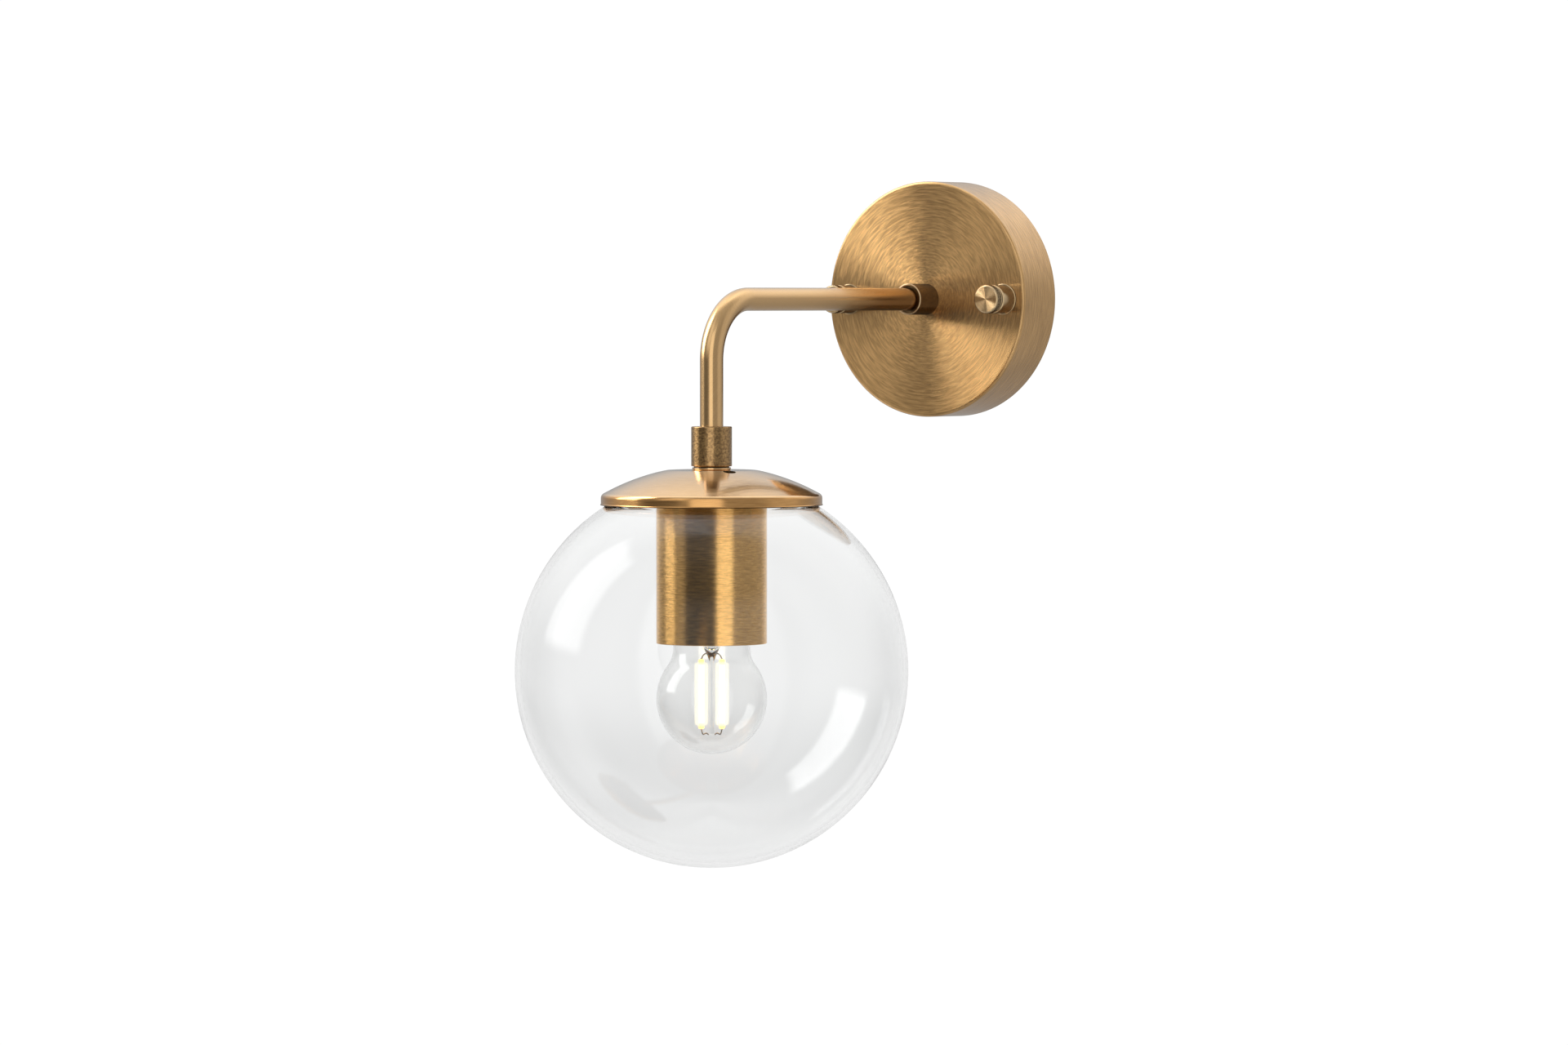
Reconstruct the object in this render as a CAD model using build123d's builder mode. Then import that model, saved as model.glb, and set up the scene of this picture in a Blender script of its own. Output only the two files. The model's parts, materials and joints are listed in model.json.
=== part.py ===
from build123d import *
import os
from math import asin, cos, degrees, pi, radians, sin, sqrt

# Wall lamp: a clear glass globe that hangs from a bent brass arm on a round wall canopy.
# Millimetres. +Z is up, the wall is the plane Y = 0 and the arm reaches out along -Y.
# The origin is the centre of the canopy's back, on the wall, at the height of the arm.

# Shared fits
thread_gap = 0.05
running_gap = 0.3
seat_gap = 0.1

# Sides of the hexagon nuts and of the knurl's square grooves
hexagon_count = 6
square_count = 4

# Canopy against the wall
canopy_diameter = 100.0
canopy_depth = 24.0
canopy_wall = 1.0
canopy_edge_radius = 1.2

# Wall bracket: a steel strap with raised ends and an ear below for the terminal block
bracket_width = 20.0
bracket_thickness = 1.5
bracket_rise = 4.0
bracket_end = 6.5
cable_hole_diameter = 12.0
slot_length = 10.0
slot_width = 4.5
slot_margin = 2.5
ear_width = 30.0
ear_length = 26.0

# Studs, lock nuts and thumb nuts that hold the canopy
stud_diameter = 4.0
stud_inset = 10.5
stud_hole_gap = 0.25
stud_head_diameter = 7.0
stud_head_height = 2.4
stud_head_room = 0.5
stud_reach = 8.0
lock_nut_flats = 7.0
lock_nut_thickness = 3.2
thumb_washer_diameter = 13.0
thumb_washer_thickness = 0.6
thumb_diameter = 12.0
thumb_head = 3.8
thumb_groove = 0.9
thumb_groove_diameter = 9.0
thumb_barrel = 8.1
thumb_bevel = 0.5
thumb_bore_depth = 9.0
knurl_count = 40
knurl_depth = 0.3
nut_turn_gap = 0.08

# Earth screw on the bracket
earth_diameter = 4.0
earth_head_diameter = 7.0
earth_head_height = 2.5
driver_slot = 1.2
earth_edge = 4.5

# Terminal block on the ear
block_width = 26.0
block_height = 14.0
block_depth = 13.0
block_drop = 2.0
pole_count = 3
pole_pitch = 8.0
pole_height = 6.5
screw_well_diameter = 3.8
screw_well_depth = 3.0
screw_row = 3.5
terminal_screw_diameter = 3.2
terminal_screw_length = 2.4
supply_hole_diameter = 3.4
wire_hole_depth = 3.0
block_screw_diameter = 3.0
block_screw_head = 3.4
block_screw_head_height = 1.6

# Arm: collar, nipple, tube and the coupler at its lower end
arm_reach = 178.0
tube_diameter = 9.5
tube_wall = 0.9
elbow_radius = 25.0
tube_socket = 6.5
collar_diameter = 13.2
collar_length = 13.6
collar_bevel = 0.6
nipple_diameter = 10.0
nipple_bore = 7.0
nipple_grip = 6.0
nipple_tail = 2.5
arm_washer_diameter = 20.0
arm_washer_thickness = 1.5
pipe_nut_flats = 14.0
pipe_nut_thickness = 4.0
drop_to_coupler = 51.6
coupler_diameter = 16.6
coupler_length = 17.7
coupler_foot = 1.5
coupler_foot_diameter = 11.6
coupler_bevel = 0.4

# Dome cap over the globe
crown_radius = 90.0
dome_diameter = 90.0
dome_wall = 1.0
rim_height = 4.4
shoulder_radius = 3.6
seat_margin = 10.0
seat_edge_radius = 15.0
vent_diameter = 5.2
vent_circle_radius = 19.5
vent_count = 3
vent_turn = -32.0

# Spring spider that grips the globe's neck from inside
spider_thickness = 0.8
spider_arm_width = 8.0
spider_arm_count = 3
spider_turn = 8.0
spider_gap = 0.4
spider_hub_margin = 0.12
finger_setback = 0.5

# Glass globe
globe_diameter = 160.0
globe_wall = 2.2
neck_margin = 3.0
neck_gap = 0.4
globe_gap = 0.4
neck_lip_radius = 0.9
neck_root_radius = 1.2

# Lampholder sleeve and the locknut above it
cap_nut_least = 1.7
sleeve_diameter = 45.0
sleeve_length = 67.0
sleeve_wall = 1.0
sleeve_edge_radius = 1.5

# Screw lampholder inside the sleeve
holder_gap = 2.0
holder_thread = 6.5
holder_boss = 3.0
holder_cap_height = 24.0
holder_cap_wall = 1.8
holder_cap_top = 2.5
holder_flange = 3.0
holder_plug = 4.0
holder_plug_gap = 0.2
holder_post_diameter = 15.0
holder_post = 3.6
holder_skirt_length = 31.0
contact_disc_diameter = 10.0
contact_disc = 0.8
contact_plunger_diameter = 6.0
contact_plunger = 3.6
shell_wall = 0.5
shell_setback = 1.0
shell_thread_gap = 0.4
shell_fit = 0.1
clamp_width = 5.0
clamp_depth = 7.0
clamp_height = 4.0
clamp_spacing = 16.0
clamp_screw_diameter = 2.3
clamp_screw_length = 2.0
clamp_head_diameter = 3.8
clamp_head = 1.0
clamp_hole_depth = 2.0

# Bulb: a small clear globe bulb with a screw cap
bulb_diameter = 45.0
bulb_length = 76.0
bulb_wall = 0.7
bulb_neck_diameter = 31.2
bulb_neck_blend = 12.0
bulb_collar_diameter = 24.8
bulb_flare = 4.6
bulb_flare_fillet = 2.0
screw_cap_diameter = 26.4
screw_cap_length = 19.5
screw_cap_wall = 0.6
screw_cap_plain = 3.5
screw_pitch = 3.629
screw_ridge = 1.0
bulb_contact_diameter = 9.4
bulb_contact_height = 1.0
insulator_height = 4.5
insulator_top_diameter = 11.0
glass_in_cap = 2.4
stem_flare = 1.2
stem_trunk_diameter = 9.0
stem_trunk = 6.0
stem_taper = 6.5
stem_tip_diameter = 3.6
pillar_diameter = 1.8
filament_length = 28.0
filament_diameter = 2.4
filament_spacing = 8.4
filament_turn = 35.6
filament_drop = 15.0
filament_fillet = 0.6
wire_diameter = 0.5
wire_bend = 0.8
wire_rise = 2.6
driver_thickness = 1.2
driver_height = 12.0
driver_lift = 1.6
capacitor_diameter = 6.4
capacitor_length = 9.0

# Insulated leads
lead_diameter = 2.0
lead_hole_gap = 0.3
lead_spread = 2.6
lead_turn = 6.0
lead_mouth = 1.0
lead_ease = 10.0
lead_rise = 5.0
lead_fan_radius = 4.0
lead_fan_start = 1.0
earth_bend = 5.0
earth_climb = 5.0

# Radii and lengths that several pieces share
canopy_radius = canopy_diameter / 2
canopy_inner = canopy_radius - canopy_wall
stud_radius = stud_diameter / 2
tube_radius = tube_diameter / 2
nipple_radius = nipple_diameter / 2
thread_bore = nipple_radius + thread_gap
tube_bore = tube_radius + thread_gap
wire_bore = nipple_bore / 2
pipe_nut_corner = pipe_nut_flats / sqrt(3)
coupler_radius = coupler_diameter / 2
dome_radius = dome_diameter / 2
dome_inner = dome_radius - dome_wall
globe_radius = globe_diameter / 2
neck_outer = dome_inner - neck_margin
neck_inner = neck_outer - globe_wall
sleeve_radius = sleeve_diameter / 2
sleeve_inner = sleeve_radius - sleeve_wall
holder_radius = sleeve_inner - holder_gap
plug_radius = holder_radius - holder_cap_wall - holder_plug_gap
screw_cap_radius = screw_cap_diameter / 2
screw_cap_inner = screw_cap_radius - screw_ridge - screw_cap_wall
shell_inner = screw_cap_radius + shell_thread_gap
shell_outer = shell_inner + shell_wall
shell_length = holder_skirt_length - shell_setback
bulb_radius = bulb_diameter / 2
lead_radius = lead_diameter / 2
lead_hole = lead_radius + lead_hole_gap

# Distances out from the wall along the arm
canopy_inside = canopy_depth - canopy_wall
arm_washer_inside = canopy_inside - arm_washer_thickness
arm_nut_inside = arm_washer_inside - pipe_nut_thickness
arm_nipple_mouth = arm_nut_inside - nipple_tail
collar_front = canopy_depth + collar_length
tube_start = collar_front - tube_socket
stud_offset = canopy_radius - stud_inset
thumb_base = canopy_depth + thumb_washer_thickness
stud_end = thumb_base + stud_reach
raised_front = bracket_rise + bracket_thickness
raised_start = stud_offset - stud_head_diameter / 2 - stud_head_room
flat_half = raised_start - bracket_rise
slot_offset = flat_half - slot_margin - slot_length / 2
block_top = -bracket_width / 2 - block_drop
block_bottom = block_top - block_height
block_face = bracket_thickness + block_depth
pole_distance = bracket_thickness + pole_height
lead_plane = arm_nipple_mouth - lead_mouth - lead_turn

# Heights down the drop axis, from the arm's axis
coupler_top = -drop_to_coupler
coupler_bottom = coupler_top - coupler_length
coupler_underside = coupler_bottom + coupler_foot
tube_end = coupler_top - tube_socket
drop_nipple_top = coupler_bottom + nipple_grip
hub_radius = pipe_nut_corner + spider_hub_margin
seat_radius = max(coupler_radius, hub_radius) + seat_margin
crown_centre = coupler_bottom - sqrt(crown_radius**2 - seat_radius**2)
inner_crown = crown_radius - dome_wall
leaf_crown = inner_crown - spider_gap
leaf_inner_crown = leaf_crown - spider_thickness


def sphere_height(centre, sphere, radius):
    """Height of the upper side of a sphere at a distance from the drop axis."""
    return centre + sqrt(sphere**2 - radius**2)


shoulder = sphere_height(crown_centre, crown_radius, dome_radius)
rim_bottom = shoulder - rim_height
hub_top = coupler_bottom - dome_wall
hub_bottom = hub_top - spider_thickness
leaf_over_sleeve = sphere_height(crown_centre, leaf_inner_crown, sleeve_radius)
cap_nut_thickness = max(cap_nut_least, hub_bottom - leaf_over_sleeve + seat_gap)
sleeve_top = hub_bottom - cap_nut_thickness
sleeve_bottom = sleeve_top - sleeve_length
holder_top = sleeve_top - sleeve_wall
drop_nipple_bottom = holder_top - holder_thread
holder_cap_bottom = holder_top - holder_cap_height
plug_top = holder_cap_bottom + holder_plug
clamp_top = plug_top + clamp_height
flange_bottom = holder_cap_bottom - holder_flange
post_bottom = flange_bottom - holder_post
contact_plane = post_bottom - contact_disc - contact_plunger
globe_centre = rim_bottom - globe_gap - sqrt(globe_radius**2 - dome_inner**2)
neck_top = sphere_height(crown_centre, inner_crown, neck_outer) - neck_gap
finger_outer = neck_inner - running_gap
finger_bottom = rim_bottom + finger_setback
bulb_tip = contact_plane - seat_gap
bulb_contact_bottom = bulb_tip - bulb_contact_height
insulator_bottom = bulb_contact_bottom - insulator_height
screw_cap_bottom = insulator_bottom - screw_cap_length
bulb_bottom = bulb_tip - bulb_length
bulb_centre = bulb_bottom + bulb_radius
glass_top = screw_cap_bottom + glass_in_cap
stem_trunk_top = glass_top - stem_flare
stem_taper_top = stem_trunk_top - stem_trunk
stem_tip = stem_taper_top - stem_taper
filament_top = glass_top - filament_drop
filament_bottom = filament_top - filament_length
pillar_bottom = filament_bottom - wire_rise - wire_diameter

# The arm's axis is Y. The drop axis is vertical at the arm's outer end.
drop_axis = Axis((0, -arm_reach, 0), (0, 0, 1))
drop_section = Plane.XZ.offset(arm_reach)


def wall_plane(distance):
    """The plane parallel to the wall at a distance out from it. It faces out into the room."""
    return Plane.XZ.offset(distance)


def level(height):
    """The horizontal plane at a height, centred on the drop axis."""
    return Plane((0, -arm_reach, height))


def filament_plane(turn):
    """The upright plane through the drop axis that holds one filament, its X pointing outwards."""
    angle = radians(turn)
    return Plane((0, -arm_reach, 0), x_dir=(cos(angle), sin(angle), 0), z_dir=(sin(angle), -cos(angle), 0))


os.makedirs("parts", exist_ok=True)

# Wall bracket
with BuildPart() as wall_bracket:
    with BuildSketch(Plane.XY):
        with BuildLine():
            strap_half = stud_offset + bracket_end
            front_bend = bracket_thickness * (sqrt(2) - 1)
            Polyline(
                (0, 0),
                (flat_half, 0),
                (raised_start, -bracket_rise),
                (strap_half, -bracket_rise),
                (strap_half, -raised_front),
                (raised_start - front_bend, -raised_front),
                (flat_half - front_bend, -bracket_thickness),
                (0, -bracket_thickness),
                close=True,
            )
        make_face()
        mirror(about=Plane.YZ)
    extrude(amount=bracket_width / 2, both=True)
    with BuildSketch(wall_plane(0)):
        with Locations((0, -bracket_width / 2)):
            Rectangle(ear_width, ear_length, align=(Align.CENTER, Align.MAX))
    extrude(amount=bracket_thickness)
    with BuildSketch(wall_plane(0)):
        Circle(cable_hole_diameter / 2)
        with Locations((-slot_offset, 0), (slot_offset, 0)):
            SlotOverall(slot_length, slot_width)
        with Locations((-stud_offset, 0), (stud_offset, 0)):
            Circle(stud_radius + thread_gap)
        earth_x = ear_width / 2 - earth_edge
        earth_z = bracket_width / 2 - earth_edge
        with Locations((-earth_x, earth_z)):
            Circle(earth_diameter / 2 + thread_gap)
        block_screw_x = pole_pitch / 2
        block_middle = (block_top + block_bottom) / 2
        with Locations((block_screw_x, block_middle)):
            Circle(block_screw_diameter / 2 + thread_gap)
    extrude(amount=raised_front, mode=Mode.SUBTRACT)
wall_bracket.part.label = "wall_bracket"
export_step(wall_bracket.part, "parts/wall_bracket.step")

# Two studs that stand out of the bracket's raised ends, heads towards the wall
with BuildPart() as bracket_studs:
    with BuildSketch(wall_plane(bracket_rise - stud_head_height)):
        with Locations((-stud_offset, 0), (stud_offset, 0)):
            Circle(stud_head_diameter / 2)
    extrude(amount=stud_head_height)
    with BuildSketch(wall_plane(bracket_rise)):
        with Locations((-stud_offset, 0), (stud_offset, 0)):
            Circle(stud_radius)
    extrude(amount=stud_end - bracket_rise)
bracket_studs.part.label = "bracket_studs"
export_step(bracket_studs.part, "parts/bracket_studs.step")

# Hexagon nuts that lock the studs to the bracket
with BuildPart() as stud_lock_nuts:
    with BuildSketch(wall_plane(raised_front)):
        with Locations((-stud_offset, 0), (stud_offset, 0)):
            RegularPolygon(lock_nut_flats / 2, hexagon_count, major_radius=False)
            Circle(stud_radius + thread_gap, mode=Mode.SUBTRACT)
    extrude(amount=lock_nut_thickness)
stud_lock_nuts.part.label = "stud_lock_nuts"
export_step(stud_lock_nuts.part, "parts/stud_lock_nuts.step")

# Earth screw through the bracket, with a driver slot
with BuildPart() as earth_screw:
    with BuildSketch(wall_plane(bracket_thickness)):
        with Locations((-earth_x, earth_z)):
            Circle(earth_head_diameter / 2)
    extrude(amount=earth_head_height)
    with BuildSketch(wall_plane(0)):
        with Locations((-earth_x, earth_z)):
            Circle(earth_diameter / 2)
    extrude(amount=bracket_thickness)
    with BuildSketch(wall_plane(bracket_thickness + earth_head_height)):
        with Locations((-earth_x, earth_z)):
            Rectangle(earth_head_diameter, driver_slot)
    extrude(amount=-driver_slot, mode=Mode.SUBTRACT)
earth_screw.part.label = "earth_screw"
export_step(earth_screw.part, "parts/earth_screw.step")

# Canopy: a spun cup with its open side on the wall
with BuildPart() as canopy:
    with BuildSketch(wall_plane(0)):
        Circle(canopy_radius)
    extrude(amount=canopy_depth)
    fillet(canopy.faces().sort_by(Axis.Y)[0].edges(), canopy_edge_radius)
    with BuildSketch(wall_plane(0)):
        Circle(canopy_inner)
    extrude(amount=canopy_inside, mode=Mode.SUBTRACT)
    with BuildSketch(wall_plane(canopy_inside)):
        Circle(thread_bore)
        with Locations((-stud_offset, 0), (stud_offset, 0)):
            Circle(stud_radius + stud_hole_gap)
    extrude(amount=canopy_wall, mode=Mode.SUBTRACT)
canopy.part.label = "canopy"
export_step(canopy.part, "parts/canopy.step")


def make_thumb_washer(side):
    """The flat washer under one thumb nut. side is -1 on the left and 1 on the right."""
    with BuildPart() as washer:
        with BuildSketch(wall_plane(canopy_depth)):
            with Locations((side * stud_offset, 0)):
                Circle(thumb_washer_diameter / 2)
                Circle(stud_radius + stud_hole_gap, mode=Mode.SUBTRACT)
        extrude(amount=thumb_washer_thickness)
    return washer


def make_thumb_nut(side):
    """One blind thumb nut: a plain barrel on the washer, a groove, and a knurled head."""
    with BuildPart() as nut:
        centre = (side * stud_offset, 0)
        with BuildSketch(wall_plane(thumb_base)):
            with Locations(centre):
                Circle(thumb_diameter / 2)
        extrude(amount=thumb_barrel)
        barrel_edges = nut.edges().filter_by(GeomType.CIRCLE).sort_by(Axis.Y)
        chamfer(barrel_edges[-1], thumb_bevel)
        with BuildSketch(wall_plane(thumb_base + thumb_barrel)):
            with Locations(centre):
                Circle(thumb_groove_diameter / 2)
        extrude(amount=thumb_groove)
        with BuildSketch(wall_plane(thumb_base + thumb_barrel + thumb_groove)):
            with Locations(centre):
                Circle(thumb_diameter / 2)
        extrude(amount=thumb_head)
        chamfer(nut.faces().sort_by(Axis.Y)[0].edges(), thumb_bevel)
        with BuildSketch(wall_plane(thumb_base + thumb_barrel + thumb_groove)):
            with Locations(centre):
                with PolarLocations(thumb_diameter / 2, knurl_count):
                    RegularPolygon(knurl_depth, square_count)
        extrude(amount=thumb_head - thumb_bevel, mode=Mode.SUBTRACT)
        with BuildSketch(wall_plane(thumb_base)):
            with Locations(centre):
                Circle(stud_radius + nut_turn_gap)
        extrude(amount=thumb_bore_depth, mode=Mode.SUBTRACT)
    return nut


thumb_washer_left = make_thumb_washer(-1)
thumb_washer_left.part.label = "thumb_washer_left"
export_step(thumb_washer_left.part, "parts/thumb_washer_left.step")
thumb_washer_right = make_thumb_washer(1)
thumb_washer_right.part.label = "thumb_washer_right"
export_step(thumb_washer_right.part, "parts/thumb_washer_right.step")
thumb_nut_left = make_thumb_nut(-1)
thumb_nut_left.part.label = "thumb_nut_left"
export_step(thumb_nut_left.part, "parts/thumb_nut_left.step")
thumb_nut_right = make_thumb_nut(1)
thumb_nut_right.part.label = "thumb_nut_right"
export_step(thumb_nut_right.part, "parts/thumb_nut_right.step")

# Terminal block, with screw wells in front, lamp leads from above and the supply from below
pole_places = [pole_pitch * (pole - (pole_count - 1) / 2) for pole in range(pole_count)]
well_places = [(x, z) for x in pole_places for z in (block_middle - screw_row, block_middle + screw_row)]
with BuildPart() as terminal_block:
    with BuildSketch(wall_plane(bracket_thickness)):
        with Locations((0, block_middle)):
            Rectangle(block_width, block_height)
    extrude(amount=block_depth)
    with BuildSketch(wall_plane(block_face)):
        with Locations(*well_places):
            Circle(screw_well_diameter / 2)
    extrude(amount=-screw_well_depth, mode=Mode.SUBTRACT)
    with BuildSketch(Plane.XY.offset(block_top)):
        with Locations(*[(x, -pole_distance) for x in pole_places]):
            Circle(lead_hole)
    extrude(amount=-wire_hole_depth, mode=Mode.SUBTRACT)
    with BuildSketch(Plane.XY.offset(block_bottom)):
        with Locations(*[(x, -pole_distance) for x in pole_places]):
            Circle(supply_hole_diameter / 2)
    extrude(amount=wire_hole_depth, mode=Mode.SUBTRACT)
    with BuildSketch(wall_plane(bracket_thickness)):
        with Locations((block_screw_x, block_middle)):
            Circle(block_screw_diameter / 2 + thread_gap)
    extrude(amount=block_depth, mode=Mode.SUBTRACT)
terminal_block.part.label = "terminal_block"
export_step(terminal_block.part, "parts/terminal_block.step")

# Clamping screws at the bottom of the block's wells
with BuildPart() as terminal_screws:
    with BuildSketch(wall_plane(block_face - screw_well_depth)):
        with Locations(*well_places):
            Circle(terminal_screw_diameter / 2)
    extrude(amount=terminal_screw_length)
terminal_screws.part.label = "terminal_screws"
export_step(terminal_screws.part, "parts/terminal_screws.step")

# Screw that holds the block to the bracket's ear
with BuildPart() as block_screw:
    with BuildSketch(wall_plane(0)):
        with Locations((block_screw_x, block_middle)):
            Circle(block_screw_diameter / 2)
    extrude(amount=block_face)
    with BuildSketch(wall_plane(block_face)):
        with Locations((block_screw_x, block_middle)):
            Circle(block_screw_head / 2)
    extrude(amount=block_screw_head_height)
block_screw.part.label = "block_screw"
export_step(block_screw.part, "parts/block_screw.step")

# Collar that joins the arm to the canopy: a tube socket in front, a thread behind
with BuildPart() as arm_collar:
    with BuildSketch(wall_plane(canopy_depth)):
        Circle(collar_diameter / 2)
    extrude(amount=collar_length)
    chamfer(arm_collar.faces().sort_by(Axis.Y)[0].edges(), collar_bevel)
    with BuildSketch(wall_plane(canopy_depth)):
        Circle(wire_bore)
    extrude(amount=collar_length, mode=Mode.SUBTRACT)
    with BuildSketch(wall_plane(canopy_depth)):
        Circle(thread_bore)
    extrude(amount=nipple_grip, mode=Mode.SUBTRACT)
    with BuildSketch(wall_plane(tube_start)):
        Circle(tube_bore)
    extrude(amount=tube_socket, mode=Mode.SUBTRACT)
arm_collar.part.label = "arm_collar"
export_step(arm_collar.part, "parts/arm_collar.step")

# Hollow threaded nipple through the canopy
with BuildPart() as arm_nipple:
    with BuildSketch(wall_plane(arm_nipple_mouth)):
        Circle(nipple_radius)
        Circle(wire_bore, mode=Mode.SUBTRACT)
    extrude(amount=canopy_depth + nipple_grip - arm_nipple_mouth)
arm_nipple.part.label = "arm_nipple"
export_step(arm_nipple.part, "parts/arm_nipple.step")

# Washer and hexagon nut on the nipple, inside the canopy
with BuildPart() as arm_washer:
    with BuildSketch(wall_plane(arm_washer_inside)):
        Circle(arm_washer_diameter / 2)
        Circle(thread_bore, mode=Mode.SUBTRACT)
    extrude(amount=arm_washer_thickness)
arm_washer.part.label = "arm_washer"
export_step(arm_washer.part, "parts/arm_washer.step")

with BuildPart() as arm_nut:
    with BuildSketch(wall_plane(arm_nut_inside)):
        RegularPolygon(pipe_nut_flats / 2, hexagon_count, major_radius=False)
        Circle(thread_bore, mode=Mode.SUBTRACT)
    extrude(amount=pipe_nut_thickness)
arm_nut.part.label = "arm_nut"
export_step(arm_nut.part, "parts/arm_nut.step")

# Arm: one tube, out from the wall and bent down to the coupler
with BuildPart() as arm_tube:
    with BuildLine() as arm_route:
        FilletPolyline(
            (0, -tube_start, 0),
            (0, -arm_reach, 0),
            (0, -arm_reach, tube_end),
            radius=elbow_radius,
        )
    with BuildSketch(wall_plane(tube_start)):
        Circle(tube_radius)
        Circle(tube_radius - tube_wall, mode=Mode.SUBTRACT)
    sweep(path=arm_route.line)
arm_tube.part.label = "arm_tube"
export_step(arm_tube.part, "parts/arm_tube.step")

# Coupler: the tube's socket above, the drop nipple's thread below, and a narrow foot on the dome
with BuildPart() as coupler:
    with BuildSketch(level(coupler_bottom)):
        Circle(coupler_foot_diameter / 2)
    extrude(amount=coupler_foot)
    with BuildSketch(level(coupler_underside)):
        Circle(coupler_radius)
    extrude(amount=coupler_top - coupler_underside)
    chamfer(coupler.faces().sort_by(Axis.Z)[-1].edges(), coupler_bevel)
    with BuildSketch(level(coupler_bottom)):
        Circle(wire_bore)
    extrude(amount=coupler_length, mode=Mode.SUBTRACT)
    with BuildSketch(level(coupler_bottom)):
        Circle(thread_bore)
    extrude(amount=nipple_grip, mode=Mode.SUBTRACT)
    with BuildSketch(level(tube_end)):
        Circle(tube_bore)
    extrude(amount=tube_socket, mode=Mode.SUBTRACT)
coupler.part.label = "coupler"
export_step(coupler.part, "parts/coupler.step")

# Hollow threaded nipple that carries the dome cap, the sleeve and the lampholder
with BuildPart() as drop_nipple:
    with BuildSketch(level(drop_nipple_bottom)):
        Circle(nipple_radius)
        Circle(wire_bore, mode=Mode.SUBTRACT)
    extrude(amount=drop_nipple_top - drop_nipple_bottom)
drop_nipple.part.label = "drop_nipple"
export_step(drop_nipple.part, "parts/drop_nipple.step")


def crown_arc(sphere, start, end):
    """The dome's curve between two distances from the drop axis, on a sphere about the crown's centre."""
    middle = (start + end) / 2
    return ThreePointArc(
        (start, sphere_height(crown_centre, sphere, start)),
        (middle, sphere_height(crown_centre, sphere, middle)),
        (end, sphere_height(crown_centre, sphere, end)),
    )


# Dome cap: flat top, shallow crown, rounded shoulder and straight rim
with BuildPart() as dome_cap:
    with BuildSketch(drop_section) as dome_outside:
        with BuildLine():
            crown = crown_arc(crown_radius, seat_radius, dome_radius)
            Polyline(crown @ 1, (dome_radius, rim_bottom), (0, rim_bottom), (0, coupler_bottom), crown @ 0)
        make_face()
        shoulder_corner = dome_outside.vertices().group_by(Axis.X)[-1].sort_by(Axis.Y)[-1]
        fillet(shoulder_corner, shoulder_radius)
        seat_corner = dome_outside.vertices().group_by(Axis.Y)[-1].sort_by(Axis.X)[-1]
        fillet(seat_corner, seat_edge_radius)
    revolve(axis=drop_axis)
    with BuildSketch(drop_section) as dome_inside:
        with BuildLine():
            inner_seat = sqrt(inner_crown**2 - (hub_top - crown_centre) ** 2)
            hollow = crown_arc(inner_crown, inner_seat, dome_inner)
            Polyline(hollow @ 1, (dome_inner, rim_bottom), (0, rim_bottom), (0, hub_top), hollow @ 0)
        make_face()
        shoulder_corner = dome_inside.vertices().group_by(Axis.X)[-1].sort_by(Axis.Y)[-1]
        fillet(shoulder_corner, shoulder_radius - dome_wall)
        seat_corner = dome_inside.vertices().group_by(Axis.Y)[-1].sort_by(Axis.X)[-1]
        fillet(seat_corner, seat_edge_radius - dome_wall)
    revolve(axis=drop_axis, mode=Mode.SUBTRACT)
    with BuildSketch(level(coupler_bottom)):
        Circle(thread_bore)
        with PolarLocations(vent_circle_radius, vent_count, start_angle=vent_turn):
            Circle(vent_diameter / 2)
    extrude(amount=rim_bottom - coupler_bottom, mode=Mode.SUBTRACT)
dome_cap.part.label = "dome_cap"
export_step(dome_cap.part, "parts/dome_cap.step")

# Spring spider: a hub and leaves under the dome's flat top, along its crown, and fingers down inside the neck
with BuildPart() as globe_spider:
    with BuildSketch(drop_section):
        with BuildLine():
            finger_inner = finger_outer - spider_thickness
            leaf_start = sqrt(leaf_crown**2 - (hub_top - crown_centre) ** 2)
            under_start = sqrt(leaf_inner_crown**2 - (hub_bottom - crown_centre) ** 2)
            leaf_top = crown_arc(leaf_crown, leaf_start, finger_outer)
            leaf_under = crown_arc(leaf_inner_crown, under_start, finger_inner)
            Polyline(
                leaf_top @ 1,
                (finger_outer, finger_bottom),
                (finger_inner, finger_bottom),
                leaf_under @ 1,
            )
            Polyline(
                leaf_under @ 0,
                (thread_bore, hub_bottom),
                (thread_bore, hub_top),
                leaf_top @ 0,
            )
        make_face()
    revolve(axis=drop_axis)
    with BuildSketch(level(finger_bottom)):
        Circle(hub_radius)
        with PolarLocations(0, spider_arm_count, start_angle=spider_turn):
            Rectangle(dome_radius, spider_arm_width, align=(Align.MIN, Align.CENTER))
    extrude(amount=hub_top - finger_bottom, mode=Mode.INTERSECT)
globe_spider.part.label = "globe_spider"
export_step(globe_spider.part, "parts/globe_spider.step")

# Locknut that clamps the spider and the dome cap to the coupler
with BuildPart() as cap_nut:
    with BuildSketch(level(sleeve_top)):
        RegularPolygon(pipe_nut_flats / 2, hexagon_count, major_radius=False)
        Circle(thread_bore, mode=Mode.SUBTRACT)
    extrude(amount=cap_nut_thickness)
cap_nut.part.label = "cap_nut"
export_step(cap_nut.part, "parts/cap_nut.step")

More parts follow.
